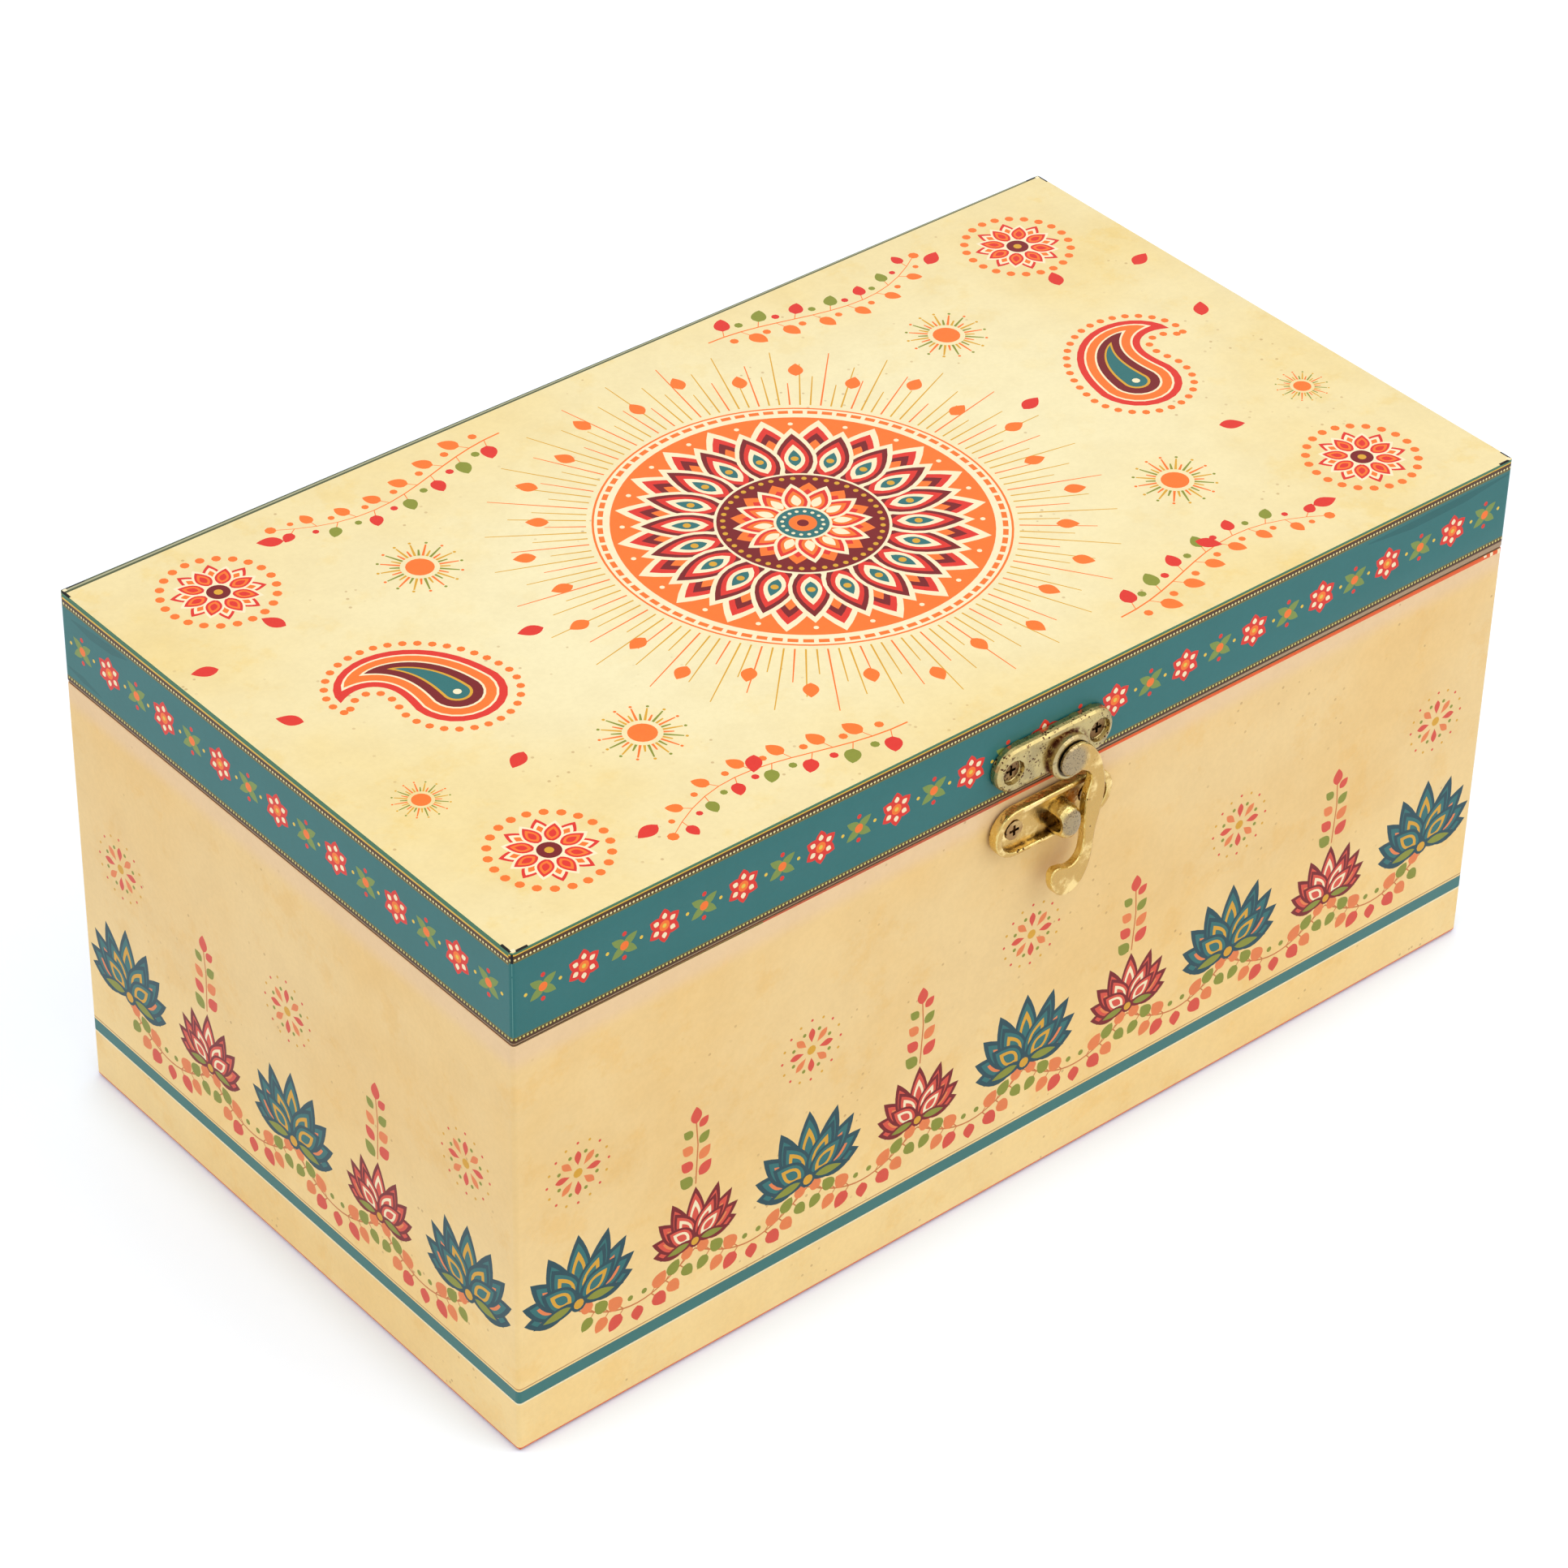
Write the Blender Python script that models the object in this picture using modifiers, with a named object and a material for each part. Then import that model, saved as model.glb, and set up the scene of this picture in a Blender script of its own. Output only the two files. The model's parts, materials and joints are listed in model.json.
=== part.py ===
"""Jar gift box: a hinged board box wrapped in printed paper, closed by a swing-hook latch.

Units are metres, +Z is up, the latch side faces -Y. The origin is the middle of the footprint,
on the surface that the box stands on.
"""
from math import cos, radians, sin

import bmesh
import bpy
from mathutils import Matrix, Vector

# Overall box
BOX_LENGTH = 0.280
BOX_DEPTH = 0.157
BODY_HEIGHT = 0.1105
LID_HEIGHT = 0.0235

# Boards and paper
WALL = 0.004
BASE_THICKNESS = 0.004
LID_TOP_THICKNESS = 0.004
PAPER = 0.0004
PAPER_CORNER = 0.001
BARE_BASE_EDGE = 0.0009
BARE_RIM_EDGE = 0.0011
BODY_FINGERS = 9
LID_FINGERS = 3

# Clearance between pieces that rest on or run in each other
GAP = 0.0003

# Jar dividers
LENGTHWISE_CELL_COUNT = 4
CROSSWISE_CELL_COUNT = 2
DIVIDER_THICKNESS = 0.003
DIVIDER_HEIGHT = 0.088

# Screws
SCREW_SHANK_RADIUS = 0.0011
SCREW_HEAD_RADIUS = 0.0024
HINGE_SCREW_HEAD_RADIUS = 0.0019
SCREW_TIP_COVER = 0.0010
CROSS_LENGTH = 0.0027
CROSS_WIDTH = 0.0007
CROSS_DEPTH = 0.0006

# Latch plate on the lid
LATCH_CENTRE_X = 0.0015
LATCH_LENGTH = 0.033
LATCH_WIDTH = 0.011
LATCH_THICKNESS = 0.0025
LATCH_BEVEL = 0.0014
LATCH_ABOVE_SEAM = 0.0030
LATCH_SCREW_SPACING = 0.0243
LATCH_HEAD_SINK = 0.0010
COUNTERSINK_RADIUS = 0.0030

# Pivot boss and the stud in it
PIVOT_X = 0.0042
PIVOT_ABOVE_SEAM = 0.0067
BOSS_RADIUS = 0.0054
BOSS_RISE = 0.0021
BOSS_EDGE = 0.0005
BOSS_WALL = 0.0020
BOSS_HOLLOW_RADIUS = 0.0037
STUD_RADIUS = 0.0014
STUD_TAIL_RADIUS = 0.0023
STUD_TAIL_THICKNESS = 0.0004
WASHER_RADIUS = 0.0031
WASHER_THICKNESS = 0.0006

# Swing hook: a thin eye over the boss and a thicker arm beside it; the throat, where the
# keeper's post stands, is measured from the pivot
HOOK_EYE_RADIUS = 0.0039
HOOK_EYE_THICKNESS = 0.0009
HOOK_THICKNESS = 0.0022
HOOK_EDGE = 0.0004
THROAT_X = -0.0004
THROAT_DROP = 0.0154

# The arm's outline in X and height, its neck and root from the pivot, the rest from the throat
HOOK_NECK = (
    (-0.0010, 0.0022), (0.0006, 0.0038), (0.0031, 0.0030), (0.0060, -0.0001), (0.0079, -0.0043),
)
HOOK_OUTER_EDGE = (
    (0.0094, 0.0050), (0.0085, -0.0009), (0.0073, -0.0060), (0.0068, -0.0112), (0.0052, -0.0165),
)
HOOK_TIP = (
    (0.0026, -0.0194), (-0.0004, -0.0201), (-0.0034, -0.0182), (-0.0047, -0.0148), (-0.0040, -0.0122),
)
HOOK_INNER_EDGE = (
    (-0.0016, -0.0122), (0.0008, -0.0129), (0.0032, -0.0115), (0.0040, -0.0088), (0.0041, -0.0040),
    (0.0040, 0.0016), (0.0045, 0.0049),
)
HOOK_ROOT = ((0.0049, -0.0072), (0.0042, -0.0052), (0.0025, -0.0038), (0.0005, -0.0026))

# Keeper plate on the body: a floor inside a rolled rim
KEEPER_LENGTH = 0.0334
KEEPER_WIDTH = 0.012
KEEPER_FLOOR = 0.0013
KEEPER_RIM_END = 0.0018
KEEPER_RIM_TOP = 0.0015
KEEPER_RIM_BOTTOM = 0.0011
KEEPER_RIM_EDGE = 0.0005
KEEPER_RIM_LIFT = 0.0002
KEEPER_SCREW_SPACING = 0.021
KEEPER_SHIFT_X = -0.0021
KEEPER_SHIFT_Z = 0.0007
HOOK_OVER_KEEPER = 0.0007

# Hooded post: a boxy dome, cut off at its mouth and scooped out from there
HOOD_HALF_LENGTH = 0.0034
HOOD_HALF_WIDTH = 0.0043
HOOD_RISE = 0.0052
HOOD_MOUTH = 0.0026
HOOD_SHIFT_Z = -0.0011
HOOD_ROUNDING = 0.5
SCOOP_HALF_LENGTH = 0.0030
SCOOP_HALF_WIDTH = 0.0025
SCOOP_RISE = 0.0042
SCOOP_SHIFT_X = -0.0010

# Butt hinges on the back
HINGE_SPACING = 0.160
HINGE_LENGTH = 0.025
HINGE_LEAF_HEIGHT = 0.0115
HINGE_LEAF_THICKNESS = 0.0012
KNUCKLE_RADIUS = 0.0022
KNUCKLE_COUNT = 3
PIN_RADIUS = 0.0010
PIN_PLAY = 0.0004
PIN_HEAD_RADIUS = 0.0017
PIN_HEAD_LENGTH = 0.0006
HINGE_SCREW_SPACING = 0.015
HINGE_SCREW_HEIGHT = 0.0072

# Facets and shading
ROUND_STEPS = 24
SMALL_STEPS = 12
END_STEPS = 12
CORNER_STEPS = 3
EDGE_STEPS = 3
DOME_STEPS = 7
OUTLINE_STEPS = 4
SHARP_ANGLE = 40
DOME_SHARP_ANGLE = 60
FLAT_ANGLE = 0.5
WELD = 0.000001
CUT_OVERRUN = 0.002

# Places worked out from the sizes above
HALF_LENGTH = BOX_LENGTH / 2
HALF_DEPTH = BOX_DEPTH / 2
BOX_HEIGHT = BODY_HEIGHT + LID_HEIGHT
SKIN = PAPER + GAP
BOARD_HALF_LENGTH = HALF_LENGTH - SKIN
BOARD_HALF_DEPTH = HALF_DEPTH - SKIN
INNER_HALF_LENGTH = BOARD_HALF_LENGTH - WALL
INNER_HALF_DEPTH = BOARD_HALF_DEPTH - WALL
BODY_RIM = BODY_HEIGHT - GAP / 2
LID_BOTTOM = BODY_HEIGHT + GAP / 2
LID_BOARD_TOP = BOX_HEIGHT - SKIN
PIVOT_Z = BODY_HEIGHT + PIVOT_ABOVE_SEAM
LATCH_Z = BODY_HEIGHT + LATCH_ABOVE_SEAM + LATCH_WIDTH / 2
LATCH_FACE = GAP + LATCH_THICKNESS
BOSS_FACE = LATCH_FACE + BOSS_RISE
HOOK_FACE = BOSS_FACE + GAP + HOOK_EYE_THICKNESS
HOOK_BACK = HOOK_FACE - HOOK_THICKNESS
KEEPER_FACE = HOOK_BACK - HOOK_OVER_KEEPER
THROAT_WORLD_X = PIVOT_X + THROAT_X
THROAT_WORLD_Z = PIVOT_Z - THROAT_DROP
KEEPER_X = THROAT_WORLD_X + KEEPER_SHIFT_X
KEEPER_Z = THROAT_WORLD_Z + KEEPER_SHIFT_Z
HINGE_AXIS_Y = HALF_DEPTH + GAP + KNUCKLE_RADIUS
SCREW_REACH = SKIN + WALL - SCREW_TIP_COVER

PARTS = "jar_gift_box"
CUTTERS = "cutters"
TURN_FRONT = 0
TURN_RIGHT = 90
TURN_BACK = 180
TURN_LEFT = -90


def clear_scene():
    for obj in list(bpy.data.objects):
        bpy.data.objects.remove(obj, do_unlink=True)
    for name in (PARTS, CUTTERS):
        collection = bpy.data.collections.get(name) or bpy.data.collections.new(name)
        if name not in bpy.context.scene.collection.children:
            bpy.context.scene.collection.children.link(collection)


def make_material(name, red, green, blue, roughness, metallic):
    mat = bpy.data.materials.get(name) or bpy.data.materials.new(name)
    mat.use_nodes = True
    shader = mat.node_tree.nodes["Principled BSDF"]
    shader.inputs["Base Color"].default_value = (red, green, blue, 1)
    shader.inputs["Roughness"].default_value = roughness
    shader.inputs["Metallic"].default_value = metallic
    mat.diffuse_color = (red, green, blue, 1)
    return mat


def make_materials():
    return {
        "painted_board": make_material("painted_board", 0.62, 0.10, 0.04, 0.50, 0),
        "divider_board": make_material("divider_board", 0.55, 0.36, 0.20, 0.70, 0),
        "cream_print": make_material("cream_print", 0.83, 0.62, 0.31, 0.38, 0),
        "teal_print": make_material("teal_print", 0.05, 0.21, 0.20, 0.38, 0),
        "aged_brass": make_material("aged_brass", 0.47, 0.38, 0.20, 0.38, 1),
        "bright_brass": make_material("bright_brass", 0.76, 0.55, 0.20, 0.22, 1),
        "rusty_steel": make_material("rusty_steel", 0.25, 0.15, 0.10, 0.50, 1),
        "hinge_brass": make_material("hinge_brass", 0.68, 0.50, 0.22, 0.30, 1),
    }


def add_part(name, mesh, mat, place, axis=None):
    """One named piece at a place, carried by its joint's empty where it has one"""
    obj = bpy.data.objects.new(name, mesh)
    bpy.data.collections[PARTS].objects.link(obj)
    if not obj.data.materials:
        obj.data.materials.append(mat)
    obj.matrix_world = place
    if axis:
        obj.parent = axis
        obj.matrix_parent_inverse = Matrix.Translation(-axis.location)
    return obj


def add_cutter(name, mesh, place):
    obj = bpy.data.objects.new(name, mesh)
    bpy.data.collections[CUTTERS].objects.link(obj)
    obj.matrix_world = place
    obj.hide_render = True
    obj.display_type = "WIRE"
    return obj


def joint_empty(name, location, parent=None):
    empty = bpy.data.objects.new(name, None)
    empty.location = location
    bpy.data.collections[PARTS].objects.link(empty)
    if parent:
        empty.parent = parent
        empty.matrix_parent_inverse = Matrix.Translation(-parent.location)
    return empty


def combine(obj, other, operation):
    step = obj.modifiers.new(operation.lower() + "_" + other.name, "BOOLEAN")
    step.object = other
    step.operation = operation
    step.solver = "EXACT"


def cut(obj, cutters):
    for cutter in cutters:
        combine(obj, cutter, "DIFFERENCE")


def flat_place(z):
    return Matrix.Translation((0, 0, z))


def side_place(turn, outward, x=0, z=0):
    """A frame on one side: local X along it, local Y up, local Z out of it"""
    spin = Matrix.Rotation(radians(turn), 4, "Z") @ Matrix.Rotation(radians(90), 4, "X")
    return spin @ Matrix.Translation((x, z, outward))


def finished_mesh(name, obj):
    """The evaluated mesh of a helper object, welded, with each flat face in one piece"""
    depsgraph = bpy.context.evaluated_depsgraph_get()
    depsgraph.update()
    mesh = bpy.data.meshes.new_from_object(obj.evaluated_get(depsgraph))
    mesh.name = name
    data = bmesh.new()
    data.from_mesh(mesh)
    bmesh.ops.remove_doubles(data, verts=data.verts, dist=WELD)
    bmesh.ops.dissolve_degenerate(data, dist=WELD, edges=data.edges)
    bmesh.ops.dissolve_limit(data, angle_limit=radians(FLAT_ANGLE), verts=data.verts, edges=data.edges)
    data.to_mesh(mesh)
    data.free()
    bpy.data.objects.remove(obj, do_unlink=True)
    return mesh


def new_outline(name, thickness, edge=0, edge_steps=1):
    curve = bpy.data.curves.new(name, "CURVE")
    curve.dimensions = "2D"
    curve.fill_mode = "BOTH"
    curve.extrude = thickness / 2 - edge
    curve.bevel_depth = edge
    curve.bevel_resolution = edge_steps
    curve.offset = -edge
    return curve


def add_corners(curve, points):
    spline = curve.splines.new("POLY")
    spline.points.add(len(points) - 1)
    for point, (x, y) in zip(spline.points, points):
        point.co = (x, y, 0, 1)
    spline.use_cyclic_u = True


def add_smooth_loop(curve, points, resolution):
    spline = curve.splines.new("BEZIER")
    spline.bezier_points.add(len(points) - 1)
    for knot, (x, y) in zip(spline.bezier_points, points):
        knot.co = (x, y, 0)
        knot.handle_left_type = "AUTO"
        knot.handle_right_type = "AUTO"
    spline.use_cyclic_u = True
    spline.resolution_u = resolution


def outline_mesh(curve, thickness):
    """A filled outline as a plate that stands on its local XY plane"""
    obj = bpy.data.objects.new(curve.name, curve)
    bpy.data.collections[CUTTERS].objects.link(obj)
    mesh = finished_mesh(curve.name, obj)
    mesh.transform(Matrix.Translation((0, 0, thickness / 2)))
    bpy.data.curves.remove(curve)
    return mesh


def plate_mesh(name, loops, thickness):
    curve = new_outline(name, thickness)
    for points in loops:
        add_corners(curve, points)
    return outline_mesh(curve, thickness)


def turned_mesh(name, profile, steps):
    """A profile of (radius, height) from the top of the axis to its bottom, turned about Z"""
    mesh = bpy.data.meshes.new(name)
    edges = [(i, i + 1) for i in range(len(profile) - 1)]
    mesh.from_pydata([(radius, 0, height) for radius, height in profile], edges, [])
    obj = bpy.data.objects.new(name, mesh)
    bpy.data.collections[CUTTERS].objects.link(obj)
    screw = obj.modifiers.new("turn", "SCREW")
    screw.axis = "Z"
    screw.steps = steps
    screw.render_steps = steps
    screw.use_merge_vertices = True
    screw.merge_threshold = 0.00001
    return finished_mesh(name, obj)


def boxes_mesh(name, boxes):
    """Separate boxes in one mesh, each from its lowest to its highest corner"""
    data = bmesh.new()
    for low, high in boxes:
        size = Vector(high) - Vector(low)
        middle = (Vector(high) + Vector(low)) / 2
        place = Matrix.Translation(middle) @ Matrix.Diagonal((*size, 1))
        bmesh.ops.create_cube(data, size=1, matrix=place)
    mesh = bpy.data.meshes.new(name)
    data.to_mesh(mesh)
    data.free()
    return mesh


def smooth(obj, angle=SHARP_ANGLE):
    obj.data.shade_smooth()
    obj.data.set_sharp_from_angle(angle=radians(angle))


def even_normals(obj):
    """Let large flat faces keep their shading after the cuts round them"""
    step = obj.modifiers.new("even_normals", "WEIGHTED_NORMAL")
    step.keep_sharp = True


def arc(centre_x, centre_y, radius, start, end, steps):
    """Points on an arc, from a start to an end angle in degrees"""
    points = []
    for i in range(steps + 1):
        angle = radians(start + (end - start) * i / steps)
        points.append((centre_x + radius * cos(angle), centre_y + radius * sin(angle)))
    return points


def stadium(length, width, steps):
    reach = (length - width) / 2
    right = arc(reach, 0, width / 2, -90, 90, steps)
    left = arc(-reach, 0, width / 2, 90, 270, steps)
    return right + left


def rounded_rectangle(half_x, half_y, radius, steps):
    points = []
    corners = ((1, -1, -90), (1, 1, 0), (-1, 1, 90), (-1, -1, 180))
    for sign_x, sign_y, start in corners:
        centre_x = sign_x * (half_x - radius)
        centre_y = sign_y * (half_y - radius)
        points += arc(centre_x, centre_y, radius, start, start + 90, steps)
    return points


def bevel_front_edge(mesh, height, width, steps):
    """Round the rim of a plate's front face"""
    data = bmesh.new()
    data.from_mesh(mesh)
    rim = []
    for edge in data.edges:
        at_front = all(abs(vert.co.z - height) < GAP / 100 for vert in edge.verts)
        if at_front and edge.calc_face_angle(0) > radians(30):
            rim.append(edge)
    bmesh.ops.bevel(data, geom=rim, offset=width, segments=steps, profile=0.5, affect="EDGES")
    data.to_mesh(mesh)
    data.free()


def finger_recesses(half_length, height, fingers, first_out):
    """The boxes taken out of a board's two ends for the fingers of the boards that it meets"""
    step = height / fingers
    inner = half_length - WALL - GAP
    outer = half_length + CUT_OVERRUN
    boxes = []
    for i in range(fingers):
        if (i % 2 == 0) == first_out:
            continue
        low = -CUT_OVERRUN if i == 0 else i * step - GAP / 2
        high = height + CUT_OVERRUN if i == fingers - 1 else (i + 1) * step + GAP / 2
        boxes.append(((inner, low, -CUT_OVERRUN), (outer, high, WALL + CUT_OVERRUN)))
        boxes.append(((-outer, low, -CUT_OVERRUN), (-inner, high, WALL + CUT_OVERRUN)))
    return boxes


def make_walls(names, bottom, top, fingers, mat, axis=None):
    """Front, right, back and left boards, finger-jointed at the corners"""
    walls = {}
    height = top - bottom
    sides = (TURN_FRONT, TURN_RIGHT, TURN_BACK, TURN_LEFT)
    for name, turn in zip(names, sides):
        long_side = turn in (TURN_FRONT, TURN_BACK)
        half_length = BOARD_HALF_LENGTH if long_side else BOARD_HALF_DEPTH
        inner_face = INNER_HALF_DEPTH if long_side else INNER_HALF_LENGTH
        place = side_place(turn, inner_face, z=bottom)
        mesh = boxes_mesh(name, [((-half_length, 0, 0), (half_length, height, WALL))])
        walls[turn] = add_part(name, mesh, mat, place, axis)
        recesses = finger_recesses(half_length, height, fingers, long_side)
        cut(walls[turn], [add_cutter(name + "_fingers", boxes_mesh(name + "_fingers", recesses), place)])
    return walls


def make_panel(name, bottom, thickness, mat, axis=None):
    """A board that fits inside the four walls"""
    half_x = INNER_HALF_LENGTH - GAP
    half_y = INNER_HALF_DEPTH - GAP
    mesh = boxes_mesh(name, [((-half_x, -half_y, 0), (half_x, half_y, thickness))])
    return add_part(name, mesh, mat, flat_place(bottom), axis)


def make_sleeve(name, bottom, top, mat, axis=None):
    """Paper wrapped round the four walls"""
    outer = rounded_rectangle(HALF_LENGTH, HALF_DEPTH, PAPER_CORNER, CORNER_STEPS)
    inner_radius = PAPER_CORNER - PAPER
    inner = rounded_rectangle(HALF_LENGTH - PAPER, HALF_DEPTH - PAPER, inner_radius, CORNER_STEPS)
    mesh = plate_mesh(name, [outer, inner], top - bottom)
    return add_part(name, mesh, mat, flat_place(bottom), axis)


def make_top_sheet(mat, axis):
    outline = rounded_rectangle(HALF_LENGTH, HALF_DEPTH, PAPER_CORNER, CORNER_STEPS)
    mesh = plate_mesh("lid_top_sheet", [outline], PAPER)
    return add_part("lid_top_sheet", mesh, mat, flat_place(BOX_HEIGHT - PAPER), axis)


def divider_outline(half_length, slots, slot_from_top):
    """A divider with half-height slots where the others cross it"""
    half_slot = DIVIDER_THICKNESS / 2 + GAP
    depth = DIVIDER_HEIGHT / 2 + GAP / 2
    notched = []
    for x in sorted(slots):
        notched += [(x - half_slot, 0), (x - half_slot, depth), (x + half_slot, depth), (x + half_slot, 0)]
    plain = [(half_length, DIVIDER_HEIGHT), (-half_length, DIVIDER_HEIGHT)]
    points = [(-half_length, 0)] + notched + [(half_length, 0)] + plain
    if slot_from_top:
        points = [(x, DIVIDER_HEIGHT - y) for x, y in reversed(points)]
    return points


def cell_lines(cells, half_inside):
    """Centre lines of the dividers that part an inside length into equal cells"""
    cell = (2 * half_inside - (cells - 1) * DIVIDER_THICKNESS) / cells
    pitch = cell + DIVIDER_THICKNESS
    return [-half_inside + i * pitch - DIVIDER_THICKNESS / 2 for i in range(1, cells)]


def make_dividers(mat):
    across = cell_lines(LENGTHWISE_CELL_COUNT, INNER_HALF_LENGTH)
    along = cell_lines(CROSSWISE_CELL_COUNT, INNER_HALF_DEPTH)
    bottom = BASE_THICKNESS + GAP
    for i, y in enumerate(along):
        name = "long_divider" if len(along) == 1 else "long_divider_%d" % (i + 1)
        outline = divider_outline(INNER_HALF_LENGTH - GAP, across, True)
        mesh = plate_mesh(name, [outline], DIVIDER_THICKNESS)
        place = side_place(TURN_FRONT, -y - DIVIDER_THICKNESS / 2, z=bottom)
        add_part(name, mesh, mat, place)
    for i, x in enumerate(across):
        name = "cross_divider_%d" % (i + 1)
        outline = divider_outline(INNER_HALF_DEPTH - GAP, along, False)
        mesh = plate_mesh(name, [outline], DIVIDER_THICKNESS)
        place = side_place(TURN_RIGHT, x - DIVIDER_THICKNESS / 2, z=bottom)
        add_part(name, mesh, mat, place)


def screw_mesh(name, head_radius, length):
    """A countersunk screw, its head's top at the origin, with a cross recess"""
    cone = head_radius - SCREW_SHANK_RADIUS
    profile = [
        (0, 0), (head_radius, 0), (SCREW_SHANK_RADIUS, -cone),
        (SCREW_SHANK_RADIUS, -length + SCREW_SHANK_RADIUS), (0, -length),
    ]
    body = bpy.data.objects.new(name, turned_mesh(name + "_turned", profile, SMALL_STEPS))
    arm = CROSS_LENGTH / 2
    side = CROSS_WIDTH / 2
    quarter = [(side, side), (side, arm), (-side, arm), (-side, side)]
    cross = []
    for i in range(4):
        spin = Matrix.Rotation(radians(90 * i), 2)
        turned = [spin @ Vector(point) for point in quarter[:3]]
        cross += [(point.x, point.y) for point in turned]
    recess = plate_mesh(name + "_cross", [cross], 2 * CROSS_DEPTH)
    cutter = add_cutter(name + "_cross", recess, flat_place(-CROSS_DEPTH))
    bpy.data.collections[CUTTERS].objects.link(body)
    combine(body, cutter, "DIFFERENCE")
    mesh = finished_mesh(name, body)
    bpy.data.objects.remove(cutter, do_unlink=True)
    mesh.shade_smooth()
    mesh.set_sharp_from_angle(angle=radians(SHARP_ANGLE))
    return mesh


def screw_hole(name, head_radius, length, mouth_radius, sink, place):
    """The hole for a screw whose head lies a little below the plate's face"""
    cone = head_radius - SCREW_SHANK_RADIUS
    bore = SCREW_SHANK_RADIUS + GAP
    profile = [(0, sink + CUT_OVERRUN), (mouth_radius, sink + CUT_OVERRUN)]
    if sink > 0:
        profile.append((mouth_radius, sink))
    profile += [(head_radius + GAP, 0), (bore, -cone), (bore, -length - GAP), (0, -length - GAP)]
    hole = add_cutter(name, turned_mesh(name, profile, SMALL_STEPS), place)
    smooth(hole)
    return hole


def through_hole(name, radius, low, high, place, steps=SMALL_STEPS):
    profile = [(0, high), (radius, high), (radius, low), (0, low)]
    return add_cutter(name, turned_mesh(name, profile, steps), place)


def hook_outline():
    """The gooseneck round the throat, in X and height from the pivot"""
    below = []
    for x, z in HOOK_OUTER_EDGE + HOOK_TIP + HOOK_INNER_EDGE:
        below.append((THROAT_X + x, z - THROAT_DROP))
    return list(HOOK_NECK) + below + list(HOOK_ROOT)


def make_hook(mats, axis):
    """The arm, its eye over the boss, and the stud that holds the eye, with its washer"""
    curve = new_outline("hook_arm", HOOK_THICKNESS, HOOK_EDGE)
    add_smooth_loop(curve, hook_outline(), OUTLINE_STEPS)
    arm = outline_mesh(curve, HOOK_THICKNESS)
    place = side_place(TURN_FRONT, HALF_DEPTH + HOOK_BACK, PIVOT_X, PIVOT_Z)
    hook = add_part("swing_hook", arm, mats["bright_brass"], place, axis)
    edge = HOOK_EDGE
    profile = [
        (0, HOOK_THICKNESS), (HOOK_EYE_RADIUS - edge, HOOK_THICKNESS),
        (HOOK_EYE_RADIUS, HOOK_THICKNESS - edge), (HOOK_EYE_RADIUS, edge), (0, edge),
    ]
    eye = add_cutter("hook_eye", turned_mesh("hook_eye", profile, ROUND_STEPS), place)
    eye_back = HOOK_THICKNESS - HOOK_EYE_THICKNESS
    room = through_hole("boss_room", BOSS_RADIUS + GAP, -CUT_OVERRUN, eye_back, place, ROUND_STEPS)
    washer_top = BOSS_FACE - BOSS_WALL - GAP - HOOK_BACK
    tail_top = washer_top - WASHER_THICKNESS - GAP
    tail_end = tail_top - STUD_TAIL_THICKNESS
    profile = [
        (0, HOOK_THICKNESS - edge), (STUD_RADIUS, HOOK_THICKNESS - edge), (STUD_RADIUS, tail_top),
        (STUD_TAIL_RADIUS, tail_top), (STUD_TAIL_RADIUS, tail_end), (0, tail_end),
    ]
    stud = add_cutter("hook_stud", turned_mesh("hook_stud", profile, ROUND_STEPS), place)
    for obj in (hook, eye, room, stud):
        smooth(obj)
    combine(hook, eye, "UNION")
    cut(hook, [room])
    combine(hook, stud, "UNION")
    even_normals(hook)
    hole = STUD_RADIUS + GAP
    ring = [
        (hole, washer_top), (WASHER_RADIUS, washer_top),
        (WASHER_RADIUS, washer_top - WASHER_THICKNESS), (hole, washer_top - WASHER_THICKNESS),
        (hole, washer_top),
    ]
    washer = add_part("pivot_washer", turned_mesh("pivot_washer", ring, ROUND_STEPS),
                      mats["rusty_steel"], place, axis)
    smooth(washer)


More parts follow.
